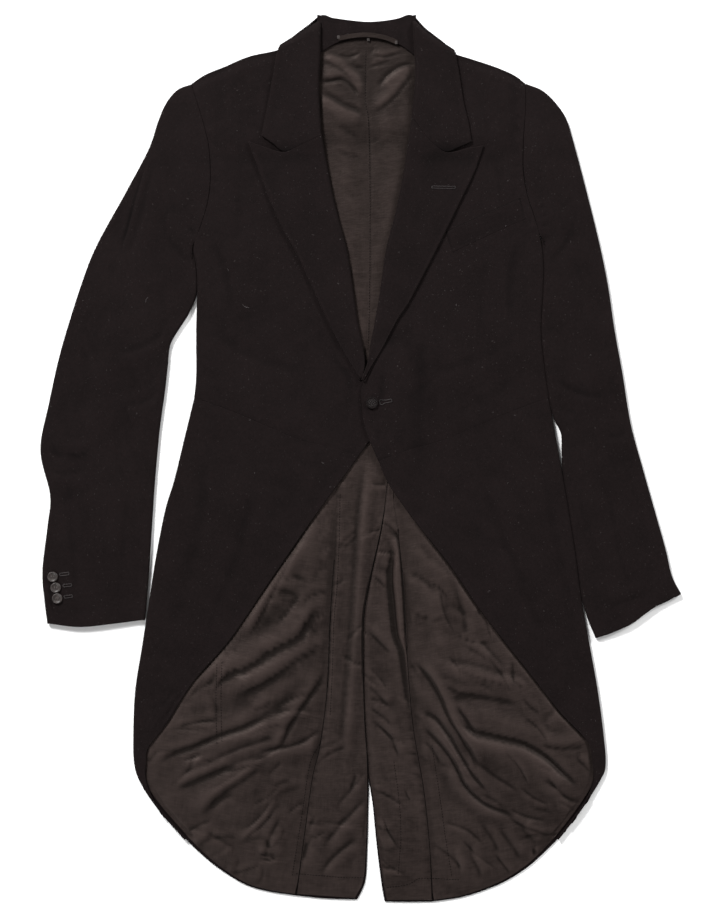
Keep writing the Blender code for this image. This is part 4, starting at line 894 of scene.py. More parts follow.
def overlap(x, y):
    """1 at the buttoned part of the fronts, falling to 0 around it."""
    beside = 1.0 - step(np.abs(x - OVERLAP_CENTRE[0]), *OVERLAP_ACROSS)
    along = 1.0 - step(np.abs(y - OVERLAP_CENTRE[1]), *OVERLAP_ALONG)
    return beside * along


def right_front(x, y):
    """Upper face of the right forepart, which lies below at the button."""
    return front_height(x, y) - OVERLAP_DIP * overlap(x, y)


def left_front(x, y):
    """Upper face of the left forepart, which lies over the right one."""
    return front_height(x, y) + OVERLAP_RISE * overlap(x, y)


def on_floor(x, y, across, down):
    """The underside that rests on the floor."""
    return np.zeros(np.broadcast(x, y).shape)


def wall(name, grid, thickness, material, face=1.0, grain=0.0, at=None):
    """A closed wall with the grid as its outer face.

    The inner face is the grid moved in by the thickness along its normals, and a ring of
    points between the two, moved out by 0.3 of the thickness, rounds the rim. The face is
    1 where the normal in the middle, or at the row and column given, points up, else -1.
    The cloth's own coordinates, in metres, are the plan turned by the grain's angle."""
    for axis in (0, 1):
        grid = rimmed(grid, axis)
    rows, columns = grid.shape[:2]
    down = np.gradient(grid, axis=0)
    along = np.gradient(grid, axis=1)
    normal = np.cross(along, down)
    normal /= np.maximum(np.linalg.norm(normal, axis=2), 1e-9)[..., None]
    row, column = at or (rows // 2, columns // 2)
    turned_over = normal[row, column, 2] * face < 0
    if turned_over:
        normal = -normal
    inner = grid - normal * thickness
    index = np.arange(rows * columns).reshape(rows, columns)
    quads = np.stack([index[:-1, :-1], index[:-1, 1:], index[1:, 1:], index[1:, :-1]],
                     axis=-1).reshape(-1, 4)
    rim = np.concatenate([index[0, :-1], index[:-1, -1], index[-1, :0:-1], index[:0:-1, 0]])
    inside = np.concatenate([index[1, :-1], index[:-1, -2], index[-2, :0:-1], index[:0:-1, 1]])
    outer_points = grid.reshape(-1, 3)
    inner_points = inner.reshape(-1, 3)
    push = outer_points[rim] - outer_points[inside]
    push /= np.maximum(np.linalg.norm(push, axis=1), 1e-9)[:, None]
    middle = (outer_points[rim] + inner_points[rim]) / 2 + push * thickness * 0.3
    count = rows * columns
    ring = 2 * count + np.arange(len(rim))
    after = np.roll(np.arange(len(rim)), -1)
    sides = np.concatenate([
        np.stack([rim[after], rim, ring, ring[after]], axis=1),
        np.stack([ring[after], ring, rim + count, rim[after] + count], axis=1)])
    faces = np.concatenate([quads, quads[:, ::-1] + count, sides])
    if not turned_over:
        faces = faces[:, ::-1]
    points = np.concatenate([outer_points, inner_points, middle])
    points[:, 2] = np.maximum(points[:, 2], 0.0)
    # The fold attribute carries painted shade into the hollows and painted highlight onto the
    # ridges of the materials' colours
    fold = np.full(len(points), 0.5)
    fold[:count] = folded(grid).ravel()
    turn = math.radians(grain)
    plan = points[:, :2] * MM
    cloth = np.stack([plan[:, 0] * math.cos(turn) + plan[:, 1] * math.sin(turn),
                      plan[:, 1] * math.cos(turn) - plan[:, 0] * math.sin(turn)], axis=1)
    made = mesh_object(name, points, faces, material, cloth, fold)
    LAID[name] = (outer_points + PLACE, quads)
    return made


def folded(grid):
    """0.5 on even cloth, less in hollows, more on ridges: 0.5 + (z - mean) / FOLD_SCALE,
    with the mean of z taken over about HOLLOW along both axes of the grid."""
    mean = grid[..., 2]
    for axis in (0, 1):
        pace = np.median(np.linalg.norm(np.diff(grid, axis=axis), axis=-1))
        mean = np.moveaxis(mean, axis, 0)
        for _ in range(int(min(400, 1.5 * (HOLLOW / pace) ** 2))):
            wider = np.pad(mean, ((1, 1), (0, 0)), mode="edge")
            mean = (wider[:-2] + wider[1:-1] + wider[2:]) / 3.0
        mean = np.moveaxis(mean, 0, axis)
    return np.clip(0.5 + (grid[..., 2] - mean) / FOLD_SCALE, 0.0, 1.0)


def rimmed(grid, axis):
    """A copy of a grid with one more line of points close to each of two opposite rims."""
    grid = np.moveaxis(grid, axis, 0)
    for _ in (0, 1):
        gap = grid[1] - grid[0]
        long = np.linalg.norm(gap, axis=-1, keepdims=True)
        close = grid[0] + gap * np.minimum(RIM / np.maximum(long, 1e-9), 0.5)
        grid = np.concatenate([grid[:1], close[None], grid[1:]])[::-1]
    return np.moveaxis(grid, 0, axis)


def mesh_object(name, points, faces, material, cloth=None, fold=None):
    """An object with these points, in millimetres, and faces, smooth, in one material."""
    mesh = bpy.data.meshes.new(name)
    polygons = faces.tolist() if isinstance(faces, np.ndarray) else faces
    mesh.from_pydata(((points + PLACE) * MM).tolist(), [], polygons)
    mesh.polygons.foreach_set("use_smooth", np.ones(len(mesh.polygons), bool))
    if cloth is not None:
        corners = np.zeros(len(mesh.loops), dtype=np.int32)
        mesh.loops.foreach_get("vertex_index", corners)
        layer = mesh.uv_layers.new(name="cloth")
        layer.data.foreach_set("uv", cloth[corners].astype(np.float32).ravel())
    if fold is not None:
        layer = mesh.attributes.new("fold", "FLOAT", "POINT")
        layer.data.foreach_set("value", fold.astype(np.float32))
    mesh.materials.append(material)
    made = bpy.data.objects.new(name, mesh)
    bpy.context.scene.collection.objects.link(made)
    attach(made, "root")
    return made


def surface(names):
    """A search tree over the outer faces of these walls."""
    points, faces, start = [], [], 0
    for name in names:
        more, quads = LAID[name]
        points.append(more)
        faces.append(quads + start)
        start += len(more)
    return BVHTree.FromPolygons(np.vstack(points).tolist(), np.vstack(faces).tolist())


def dropped(plan, tree, lift=0.0):
    """Points in plan, laid on the highest surface below them and lifted a little."""
    plan = np.asarray(plan, float)
    high = []
    for x, y in plan + PLACE[:2]:
        hit = tree.ray_cast((x, y, 60.0), (0.0, 0.0, -1.0))[0]
        if hit is None:
            hit = tree.find_nearest((x, y, 8.0))[0]
        high.append(hit[2])
    return np.column_stack([plan, np.array(high) + lift])


def ringed(rings, sides):
    """Faces between rings of points, closed at both ends by fans round two more points."""
    count = rings * sides
    index = np.arange(count).reshape(rings, sides)
    after = np.roll(index, -1, axis=1)
    quads = np.stack([index[:-1], after[:-1], after[1:], index[1:]], axis=-1).reshape(-1, 4)
    start = np.stack([np.full(sides, count), after[0], index[0]], axis=1)
    end = np.stack([np.full(sides, count + 1), index[-1], after[-1]], axis=1)
    return quads.tolist() + start.tolist() + end.tolist()


def tube(path, radius, sides=6):
    """Points and faces of a round rod along a path, closed at both ends.

    The ring at each point is radius * (cos(a) * side + sin(a) * up) round it, and the
    radius may change along the path."""
    path = np.asarray(path, float)
    along = np.gradient(path, axis=0)
    along /= np.maximum(np.linalg.norm(along, axis=1), 1e-9)[:, None]
    side = np.stack([along[:, 1], -along[:, 0], np.zeros(len(path))], axis=1)
    side /= np.maximum(np.linalg.norm(side, axis=1), 1e-9)[:, None]
    up = np.cross(side, along)
    angle = np.linspace(0.0, 2 * math.pi, sides, endpoint=False)
    size = np.broadcast_to(np.asarray(radius, float), (len(path),))[:, None, None]
    ring = path[:, None] + size * (np.cos(angle)[None, :, None] * side[:, None]
                                   + np.sin(angle)[None, :, None] * up[:, None])
    points = np.vstack([ring.reshape(-1, 3), path[:1], path[-1:]])
    return points, ringed(len(path), sides)


def joined(parts):
    """Points and faces of several meshes as one."""
    points, faces, start = [], [], 0
    for more, polygons in parts:
        points.append(more)
        faces.extend([[corner + start for corner in polygon] for polygon in polygons])
        start += len(more)
    return np.vstack(points), faces


def stitched(line, tree, pitch=3.2, stitch=1.9, radius=0.28, lift=0.12):
    """A row of stitches along a smooth line: short rods, sunk at both ends."""
    run = smooth(line, even(200))
    total = np.sum(np.hypot(*np.diff(run, axis=0).T))
    parts = []
    for start in np.arange(0.0, total - stitch, pitch):
        at = (start + stitch * np.array([0.0, 0.3, 0.7, 1.0])) / total
        path = dropped(smooth(line, at), tree, lift)
        path[[0, -1], 2] -= radius
        parts.append(tube(path, radius, 5))
    return parts


def lathe(centre, radius, height, profile, steps=48):
    """A turned solid: the profile's columns are the fractions of radius and of height."""
    x, y, z = centre
    angle = np.linspace(0.0, 2 * math.pi, steps, endpoint=False)
    outline = np.asarray(profile[1:-1], float)
    ring = np.stack([x + radius * outline[:, :1] * np.cos(angle),
                     y + radius * outline[:, :1] * np.sin(angle),
                     z + height * outline[:, 1:] + np.zeros(steps)], axis=2)
    points = np.vstack([ring.reshape(-1, 3), [[x, y, z + height * profile[0][1]]],
                        [[x, y, z + height * profile[-1][1]]]])
    return points, ringed(len(outline), steps)


def rows_of(*parts):
    """Row numbers of an edge table: each part is start, end and the rows for each one."""
    runs = [np.arange(0, round((end - start) * each)) / each + start
            for start, end, each in parts]
    return np.concatenate(runs + [[parts[-1][1]]])


def ripples(x, y, line, wave, tall, wide):
    """Small puckers along a seam: tall * sin(2 pi s / wave) * exp(-(d / wide)^2), with s
    along the seam and d away from it."""
    path = smooth(line, even(160))
    run = lengths(path) * np.sum(np.hypot(*np.diff(path, axis=0).T))
    total = np.zeros(np.broadcast(x, y).shape)
    close = around(x, y, path, 3 * wide)
    if not np.any(close):
        return total
    away = np.hypot(x[close][:, None] - path[:, 0], y[close][:, None] - path[:, 1])
    near = np.argmin(away, axis=1)
    far = away[np.arange(len(near)), near]
    along = run[near]
    sway = np.sin(along * 2 * math.pi / wave + 1.7 * np.sin(along / wave * 1.3))
    total[close] = tall * sway * np.exp(-(far / wide) ** 2)
    return total


def hold(across, down, sides, ends):
    """1 inside a panel, falling to 0 within these fractions of its sides and its ends."""
    return (step(across, 0.0, sides) * (1.0 - step(across, 1.0 - sides, 1.0))
            * step(down, 0.0, ends) * (1.0 - step(down, 1.0 - ends, 1.0)))


def settled(high):
    """Heights h that ease into those of the cloth below: with d = h - LINING_REST they
    become LINING_REST + (d + sqrt(d^2 + 1)) / 2."""
    return LINING_REST + ((high - LINING_REST) + np.sqrt((high - LINING_REST) ** 2 + 1.0)) / 2.0


def bared(x, y, side, opening):
    """1 where the lining shows between the wool edges, falling to 0 under the wool."""
    line = np.array(opening)
    return step(side * (np.interp(-y, -line[:, 1], line[:, 0]) - x), 0.0, SHOWN_OVER)


def build_back(label, side, edges):
    """Back with its tail, its lining, and the side body, all lying flat.

    The rows of the lining lie closest at the neck and in the tail, where it creases most."""
    half = side * SEAM / 2

    def both_edges(rows):
        """Points of the seam and of the centre line at these rows of their tables."""
        levels = BACK_ROWS + (edges["vent"][-1][1],)
        heights = np.interp(rows, np.arange(len(levels)), levels)
        seam = edges["armhole"][:5] + edges["back_seam"][1:]
        return flowing(seam, rows), at_heights(CENTRE + edges["vent"][1:], heights)
    outer, inner = both_edges(rows_of((0, 17, 7)))

    def over_fall(x, y, across, down):
        return neck_lift(x, y, 0.0)
    grid = panel(sideways(outer, -half), sideways(inner, half),
                 smooth(edges["back_head"], even(41)), smooth(edges["tail_hem"], even(41)),
                 over_fall, fading=4.0)
    piece("back_" + label, grid, WOOL, "wool", ("floor",), face=-1.0)

    t = rows_of((0, 2, 28), (2, 7.2, 14), (7.2, 9.2, 6), (9.2, 17, 22))
    outer, inner = both_edges(t)
    away = inward(outer, inner)
    lined = sideways(outer + away * (LINING_INSET * np.clip(5.0 - t, 0.0, 1.0))[:, None], -half)
    upper = t < 3.0
    third = lined[np.argmax(t >= 3.0)]
    start = np.array(edges["lining_head"][0])
    lined[upper] = start + (t[upper] / 3.0)[:, None] * (third - start)
    ending = np.clip(t - 16.0, 0.0, 1.0)[:, None]
    lined = lined + ending * (-side * HEM_SIDE, HEM_INSET)
    kept = sideways(inner, half)
    kept[:, 0] += side * HEM_SIDE * np.clip(t - 14.0, 0.0, 1.0) + side * ending[:, 0]
    kept[:, 1] += HEM_INSET * ending[:, 0]
    low = t < 1.0
    top = edges["lining_head"][-1]
    first = kept[np.argmax(t >= 1.0)]
    kept[low] = np.array(top) + t[low][:, None] * (first - np.array(top))

    def lining(x, y, across, down):
        held = hold(across, down, 0.05, 0.012)
        seamed = 0.5 + 0.5 * np.clip((1.0 - across) / 0.05, 0.0, 1.0)
        relief = creased(x, y, BACK_CREASES, *BACK_STRENGTH)
        for seed, count, area, heading, long, deep in BACK_SCATTER:
            relief += creased(x, y, scattered(seed, count, area, heading * side, long, deep))
        relief += drape(x, y, 0.22, 60.0, 11) + drape(x, y, 0.12, 17.0, 12)
        for line, wave, tall, wide in edges["puckers"]:
            relief += ripples(x, y, line, wave, tall, wide)
        base = LINING_TOP + neck_lift(x, y, LINING_LEAD)
        padded = BACK_PADDING * hold(across, down, 0.16, 0.04)
        lift, reach = VENT_EDGE[side]
        free = step(down, 0.50, 0.56) * (1.0 - step(down, 0.82, 0.88))
        free = lift * free * np.exp(-((1.0 - across) / reach) ** 2)
        limit = BACK_COVERED + SHOWN_RISE * bared(x, y, side, edges["opening"])
        raised = np.minimum((relief + padded) * held * seamed, limit)
        return settled(base + raised + free)
    closer = 1.0 - (1.0 - even(BACK_LINING_COLUMNS)) ** 1.5
    foot = lined[-1] + closer[:, None] * (kept[-1] - lined[-1])
    grid = panel(lined, kept, smooth(edges["lining_head"], closer), foot, lining, fading=4.0)
    piece("back_lining_" + label, grid, SATIN, "satin", ("back_" + label,), grain=2.0 * side)

    t = rows_of((0, 5, 12))
    seam = sideways(flowing(edges["back_seam"], t), half)
    fold = flowing(edges["side"], t)
    head = flowing(edges["armhole"][:3:-1], rows_of((0, 3, 6)))
    grid = panel(fold, seam, head, np.linspace(fold[-1], seam[-1], 19), on_floor,
                 left_turn=(SIDE_REACH, 90.0, SIDE_JOIN - SEAM, -0.6, 6))
    piece("side_body_" + label, grid, WOOL, "wool", ("floor",), face=-1.0)


def build_front(label, side, edges, high, creases):
    """Forepart, skirt and skirt lining."""
    t = rows_of((0, 1, 24), (1, 12, 12))
    rows = flowing(edges["armhole"] + edges["side"][1:], t)
    part = lengths(rows)
    waist = smooth(edges["waist"], even(FRONT_COLUMNS))

    def drooping(down):
        return SHOULDER_DROOP * (1.0 - step(down, 0.0, SHOULDER_DROOP_END))

    def forepart(x, y, across, down):
        relief = creased(x, y, creases["front"]) + drape(x, y, 0.10, 34.0, 21)
        tucked = WAIST_DIP * np.exp(-((1.0 - down) / 0.010) ** 2)
        edge = FRONT_SWELL * np.exp(-((1.0 - across) / 0.03) ** 2) * step(down, 0.72, 0.8)
        relief += ripples(x, y, edges["armhole"][1:], 16.0, 0.3, 9.0)
        return high(x, y) - drooping(down) + relief * hold(across, down, 0.03, 0.03) - tucked + edge
    join = SIDE_JOIN - 0.95 * drooping(part)
    reach = (ARMHOLE_REACH + (SIDE_REACH - ARMHOLE_REACH) * step(t, 6.5, 8.5))[:, None]
    shoulder = smooth(edges["shoulder"], even(FRONT_COLUMNS))
    grid = panel(rows, smooth(edges["front"], part), shoulder, waist, forepart,
                 left_turn=(reach, 90.0, join, 0.6, 7))
    piece("forepart_" + label, grid, CANVASSED, "wool", ("back_lining_" + label,),
          grain=-6.0 * side)

    def skirt(x, y, across, down):
        relief = creased(x, y, creases["skirt"]) + drape(x, y, 0.12, 40.0, 22)
        tucked = WAIST_DIP * np.exp(-(down / 0.012) ** 2)
        edge = SKIRT_SWELL * np.exp(-((1.0 - across) / 0.05) ** 2)
        return high(x, y) + relief * hold(across, down, 0.06, 0.03) - tucked + edge
    seam = edges["back_seam"][5:]
    t = rows_of((0, 6, 15), (6, 8, 24))
    rear = sideways(flowing(seam, t), side * SEAM / 2)
    fold = smooth(edges["skirt_side"], lengths(rear))
    cut = smooth(edges["cutaway"], lengths(fold))
    part = lengths(fold)
    taper = step(part, 0.80, 0.905)[:, None]
    reach = SIDE_REACH + (TAIL_REACH - SIDE_REACH) * taper
    cut = cut + (fold + inward(fold, rear) * (reach + FOLD_LEAST) - cut) * taper
    lap = (WAIST_LAP * np.clip(1.0 - t * 2, 0.0, 1.0))[:, None] * (0.0, 1.0)
    fold = fold + lap
    cut = cut + lap
    foot = np.linspace(fold[-1], cut[-1], FRONT_COLUMNS)
    grid = panel(fold, cut, waist + (0.0, WAIST_LAP), foot, skirt,
                 left_turn=(reach, 180.0, 0.0, 0.0, 10))
    # The cloth runs on round the side fold to the back seam, as the under face of the skirt
    under_head = np.linspace(fold[0], rear[0], 40) - (0.0, SEAM)
    hem = smooth(edges["hem"], even(40))
    hem += even(40)[:, None] * (rear[-1] - hem[-1])
    under = panel(fold + inward(fold, rear) * reach, rear, under_head, hem, on_floor)
    grid = np.concatenate([under[:, :0:-1], grid], axis=1)
    piece("skirt_" + label, grid, WOOL, "wool", ("floor", "skirt_lining_" + label),
          grain=14.0 * side, at=(60, grid.shape[1] - 30))

    t = rows_of((0, 4, 14), (4, 6, 20), (6, 8, 26))
    rear = sideways(flowing(seam, t), side * SEAM / 2)
    ending = np.clip(1.0 - (8.0 - t) / 0.25, 0.0, 1.0)[:, None]
    rear = rear + ending * (side * HEM_SIDE, HEM_INSET)
    fold = smooth(edges["skirt_side"], lengths(rear))
    fold = fold + inward(fold, rear) * LINING_SIDE
    drop = (LINING_DROP * np.clip(1.0 - t, 0.0, 1.0))[:, None] * (0.0, 1.0)
    fold = fold - drop
    rear = rear - drop
    hem = smooth(edges["hem"], even(LINING_COLUMNS))
    inset = np.linspace(LINING_SIDE, HEM_INSET, LINING_COLUMNS)[:, None]
    hem = hem + inward(hem, hem + (0.0, 1.0)) * inset

    def pleated(x, y, across, down):
        held = hold(across, down, 0.05, 0.02)
        inside = step(across, 0.0, 0.1) * (1.0 - step(across, 0.93, 1.0)) * step(down, 0.0, 0.2)
        relief = FOLD_STRENGTH * fold_height(x, y, edges["folds"]) * inside
        relief += creased(x, y, creases["tail"], *TAIL_STRENGTH)
        relief += SWELL_STRENGTH * swelling(x, y, creases["swells"])
        area = (side * 155 - 110, -480, side * 155 + 110, -60)
        relief += creased(x, y, scattered(63, 90, area, creases["heading"], (16, 60), 0.9))
        relief += drape(x, y, 0.25, 90.0, 31) + drape(x, y, 0.12, 24.0, 32)
        relief += ripples(x, y, edges["back_seam"][8:], 11.0, 0.3, 8.0)
        relief += ripples(x, y, edges["hem"], 15.0, 0.45, 9.0)
        padded = TAIL_PADDING * hold(across, down, 0.2, 0.06)
        limit = TAIL_COVERED + SHOWN_RISE * bared(x, y, side, edges["opening"])
        return settled(LINING_TOP + np.minimum((relief + padded) * held, limit))
    head = np.linspace(fold[0], rear[0], LINING_COLUMNS)
    grid = panel(fold, rear, head, hem, pleated, fading=3.0)
    piece("skirt_lining_" + label, grid, SATIN, "satin", ("skirt_" + label,), grain=8.0 * side)


def fold_height(x, y, folds):
    """Height of the raised folds at x, y: each a soft ridge along a bent line."""
    total = np.zeros(np.broadcast(x, y).shape)
    part = even(97)
    fading = np.sin(np.pi * np.clip(part, 0.08, 0.92)) ** 0.5
    for x0, y0, x1, y1, x2, y2, wide, tall in folds:
        line_x = (1 - part) ** 2 * x0 + 2 * part * (1 - part) * x1 + part ** 2 * x2
        line_y = (1 - part) ** 2 * y0 + 2 * part * (1 - part) * y1 + part ** 2 * y2
        for at_x, at_y, fade in zip(line_x, line_y, fading):
            away = (x - at_x) ** 2 + (y - at_y) ** 2
            total = np.maximum(total, tall * fade * np.exp(-away / wide ** 2))
    return total


def build_collar():
    """Lapels, collar falls, back fall and stand."""
    halves = (("right", -1.0, ROLL_R, LAPEL_EDGE_R, GORGE_R, FALL_ROLL_R, FALL_EDGE_R,
               FALL_TOP_R, FALL_FOOT_R, right_front),
              ("left", 1.0, ROLL_L, LAPEL_EDGE_L, GORGE_L, FALL_ROLL_L, FALL_EDGE_L,
               FALL_TOP_L, FALL_FOOT_L, left_front))
    for label, side, roll, edge, gorge, fall_roll, fall_edge, fall_top, fall_foot, high in halves:

        def rolled(x, y, across, down):
            rise = (LAPEL_ROLL - LAPEL_REST) * across ** 2 * (1.0 - ROLL_EASING * down)
            rim = LAPEL_RIM * np.exp(-((across - 0.02) / 0.035) ** 2)
            return high(x, y) + LAPEL_REST + rise + rim + drape(x, y, 0.12, 70.0, 41)
        rows = even(101)
        bend = smooth(roll, rows)
        low = LAPEL_LOW + neck_lift(bend[:, 0], bend[:, 1], FRONT_LEAD)
        end = np.linspace(edge[-1], roll[-1], 46)
        narrow = 1.0 - step(rows, *ROLL_END)
        reach = (ROLL_LEAST + (ROLL_REACH - ROLL_LEAST) * narrow)[:, None]
        low = low + (high(bend[:, 0], bend[:, 1]) - 1.0 - low) * (1.0 - narrow)
        grid = panel(smooth(edge, rows), bend, smooth(gorge, even(46)), end, rolled,
                     right_turn=(reach, 180.0, low, ROLL_LIP * narrow, 9), fading=3.0)
        piece("lapel_" + label, grid, LAPEL, "wool", ("forepart_" + label,), grain=-16.0 * side)

        def drooping(down):
            return FALL_DROOP * np.clip(1.0 - down / FALL_DROOP_END, 0.0, 1.0) ** 2

        def falling(x, y, across, down):
            rise = (LAPEL_ROLL - LAPEL_REST) * across ** 2
            rim = LAPEL_RIM * np.exp(-((across - 0.03) / 0.05) ** 2)
            return high(x, y) + LAPEL_REST + FALL_ABOVE_LAPEL + rise + rim - drooping(down)
        rows = np.concatenate([np.linspace(0.0, FALL_DROOP_END, 10), np.linspace(0.1, 1.0, 56)])
        low = FALL_LOW - FALL_LOW_SHARE * drooping(rows)
        grid = panel(smooth(fall_edge, rows), smooth(fall_roll, rows),
                     smooth(fall_top, even(40)), smooth(fall_foot, even(40)), falling, down=rows,
                     right_turn=(ROLL_REACH, 180.0, low, ROLL_LIP, 9))
        piece("collar_" + label, grid, LAPEL, "wool", ("forepart_" + label,), grain=30.0 * side)

    grid = panel(smooth(BACK_FALL_TOP, even(81)), smooth(BACK_FALL_FOOT, even(81)),
                 np.linspace(BACK_FALL_TOP[0], BACK_FALL_FOOT[0], 15),
                 np.linspace(BACK_FALL_TOP[-1], BACK_FALL_FOOT[-1], 15), on_floor,
                 left_turn=(SIDE_REACH, 90.0, BACK_FALL_RISE, -0.6, 6))
    piece("collar_back", grid, COLLAR_FALL, "wool", ("floor",), face=-1.0)

    def stand(x, y, across, down):
        wave = 0.25 * np.sin(x / 4.1) + 0.2 * np.sin(x / 7.7 + 1.0)
        inside = hold(across, down, 0.06, 0.2)
        return STAND_HEIGHT - STAND_SINK * (1.0 - step(down, 0.0, 0.35)) + wave * inside
    rows = even(16)
    grid = panel(np.linspace(STAND_TOP[0], STAND_FOOT[0], 16),
                 np.linspace(STAND_TOP[-1], STAND_FOOT[-1], 16),
                 smooth(STAND_TOP, even(81)), smooth(STAND_FOOT, even(81)), stand, down=rows)
    piece("collar_stand", grid, WOOL, "wool", ("back_lining_right", "back_lining_left"))


def build_sleeve(label, side, edges, creases):
    """Top sleeve folded round both sides, and the under sleeve between its lips."""
    t = rows_of((0, 16, 9))
    rows = t / 16.0
    outer = smooth(edges["sleeve_out"], rows)
    closed = CLOSE * (1.0 - step(t, *SLEEVE_APART[side]))
    inner = sideways(flowing(edges["sleeve_in"], t), -side * closed)
    head = sideways(flowing(edges["armhole"], np.linspace(0.0, 7.0, 71)), side * 0.2)
    lip = SLEEVE_LIP_HEAD + (SLEEVE_LIP - SLEEVE_LIP_HEAD) * step(rows, 0.0, 0.25)
    turn = (SLEEVE_REACH, 180.0, 0.0, lip, 9)

    def crowned(x, y, across, down):
        swell = SLEEVE_CROWN * np.sin(np.pi * across)
        swell = swell + SLEEVE_HEAD_SWELL * (1.0 - step(down, 0.0, 0.2))
        round_top = np.sin(np.pi * np.clip(across, 0.0, 1.0)) ** 0.5
        relief = creased(x, y, creases["sleeve"]) + drape(x, y, 0.3, 90.0, 51)
        relief += drape(x, y, 0.1, 26.0, 52)
        relief += ripples(x, y, edges["armhole"][1:], 13.0, 0.45, 12.0)
        return SLEEVE_TOP + swell * round_top + relief * hold(across, down, 0.05, 0.03)
    grid = panel(outer, inner, head, smooth(edges["cuff"], even(71)), crowned, left_turn=turn,
                 right_turn=turn, fading=60.0, hugging=True)
    piece("top_sleeve_" + label, grid, WOOL, "wool", ("floor", "under_sleeve_" + label),
          grain=-12.0 * side)

    ease = UNDER_SLEEVE_EASE * (1.0 - step(rows, 0.0, 0.12))
    inset = (SLEEVE_REACH + lip + SEAM + ease)[:, None]
    left = outer + inward(outer, inner) * inset
    right = inner + inward(inner, outer) * inset
    middle = flowing(edges["armhole"], np.linspace(0.0, 7.0, 24))
    grid = panel(left, right, sideways(middle, side * 0.6), smooth(edges["cuff"], even(24)),
                 on_floor, fading=60.0)
    piece("under_sleeve_" + label, grid, WOOL, "wool", ("floor",), face=-1.0)


def build_trim():
    """Pocket welt and hanger loop."""
    def welt(x, y, across, down):
        proud = (1.0 - 0.9 * step(down, 0.05, 0.9)) * step(across, -0.02, 0.06)
        proud = proud * (1.0 - step(across, 0.94, 1.02))
        return left_front(x, y) + WELT_LOW + WELT_PROUD * proud
    top = smooth(WELT_TOP, even(61))
    foot = smooth(WELT_FOOT, even(61))
    rows = even(20)
    grid = panel(np.linspace(top[0], foot[0], 20), np.linspace(top[-1], foot[-1], 20), top, foot,
                 welt, down=rows)
    piece("breast_welt", grid, WELT, "wool", ("forepart_left",), grain=24.0)

    line = smooth(LOOP_LINE, even(61))
    across = inward(line, line + (0.0, 1.0)) * LOOP_WIDTH / 2

    def loop(x, y, along, down):
        return STAND_HEIGHT + 0.3 + SATIN + 0.5 * np.sin(np.pi * along)
    grid = panel(np.linspace(line[0] + across[0], line[0] - across[0], 9),
                 np.linspace(line[-1] + across[-1], line[-1] - across[-1], 9),
                 line + across, line - across, loop, down=even(9))
    piece("hanger_loop", grid, SATIN, "satin", ("collar_stand",))


def piece(part, grid, thickness, slot, under, **how):
    """A wall of the coat: the part it stands for, its finish, and what it lies on.

    Its cut is measured from its outer face: the middle of the widths of all rows, the
    greatest length of the columns, and the area of the face."""
    made = wall(part + "_cloth", grid, thickness, FINISH[slot], **how)
    points, quads = LAID[made.name]
    a, b, c, d = (points[quads[:, k]] for k in range(4))
    area = 0.5 * np.linalg.norm(np.cross(c - a, d - b), axis=1).sum() * MM * MM
    columns = int(quads[0][3] - quads[0][0])
    grid = points.reshape(-1, columns, 3)
    length = np.linalg.norm(np.diff(grid, axis=0), axis=2).sum(axis=0).max() * MM
    width = np.median(np.linalg.norm(np.diff(grid, axis=1), axis=2).sum(axis=1)) * MM
    length = max(length, CUT_LEAST)
    width = max(width * CUT_SPARE, area / (CUT_FILLED * length))
    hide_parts(part)
    rests_on = [name + "_cloth" for name in under if name != "floor"]


class Value:
    """One number, colour or vector socket of a material, with arithmetic."""

    def __init__(self, tree, socket):
        self.tree = tree
        self.socket = socket

    def math(self, operation, *others):
        made = self.tree.nodes.new("ShaderNodeMath")
        made.operation = operation
        for slot, value in zip(made.inputs, (self,) + others):
            feed(self.tree, slot, value)
        return Value(self.tree, made.outputs[0])

    def __add__(self, other):
        return self.math("ADD", other)

    __radd__ = __add__

    def __sub__(self, other):
        return self.math("SUBTRACT", other)

    def __rsub__(self, other):
        return (self * -1.0) + other

    def __mul__(self, other):
        return self.math("MULTIPLY", other)

    __rmul__ = __mul__

    def range(self, low, high, start=0.0, end=1.0):
        """A straight rise from start at low to end at high, held outside."""
        return node(self.tree, "ShaderNodeMapRange", (), 0, Value=self,
                    **{"From Min": low, "From Max": high, "To Min": start, "To Max": end})


def feed(tree, slot, value):
    """Link a Value to a socket, or set the socket to a number, a vector or a colour."""
    if isinstance(value, Value):
        tree.links.new(value.socket, slot)
    elif slot.type == "RGBA" and len(value) == 3:
        slot.default_value = (*value, 1.0)
    else:
        slot.default_value = value


def node(tree, kind, settings=(), output=0, **values):
    """A node with these settings and input values or links; its output as a Value."""
    made = tree.nodes.new(kind)
    for name, setting in dict(settings).items():
        setattr(made, name, setting)
    for name, value in values.items():
        feed(tree, made.inputs[name], value)
    return Value(tree, made.outputs[output])


def noise(tree, at, scale, detail=2.0, rough=0.5):
    """Noise of about 1 / scale metres, from 0 to 1 round 0.5."""
    return node(tree, "ShaderNodeTexNoise", (), 0, Vector=at, Scale=scale, Detail=detail,
                Roughness=rough)


def mixed(tree, factor, a, b):
    """Colour a where the factor is 0 and colour b where it is 1."""
    made = tree.nodes.new("ShaderNodeMix")
    made.data_type = "RGBA"
    for slot, value in ((made.inputs[0], factor), (made.inputs[6], a), (made.inputs[7], b)):
        feed(tree, slot, value)
    return Value(tree, made.outputs[2])


def started(name, rough, specular, sheen=0.0, tint=None):
    """A material with one shader and its constant values, its tree and its shader."""
    made = bpy.data.materials.new(name)
    made.use_nodes = True
    tree = made.node_tree
    shader = tree.nodes["Principled BSDF"]
    shader.inputs["Roughness"].default_value = rough
    shader.inputs["Specular IOR Level"].default_value = specular
    shader.inputs["Sheen Weight"].default_value = sheen
    shader.inputs["Sheen Roughness"].default_value = 0.5
    if tint:
        shader.inputs["Specular Tint"].default_value = (*tint, 1.0)
    return made, tree, shader


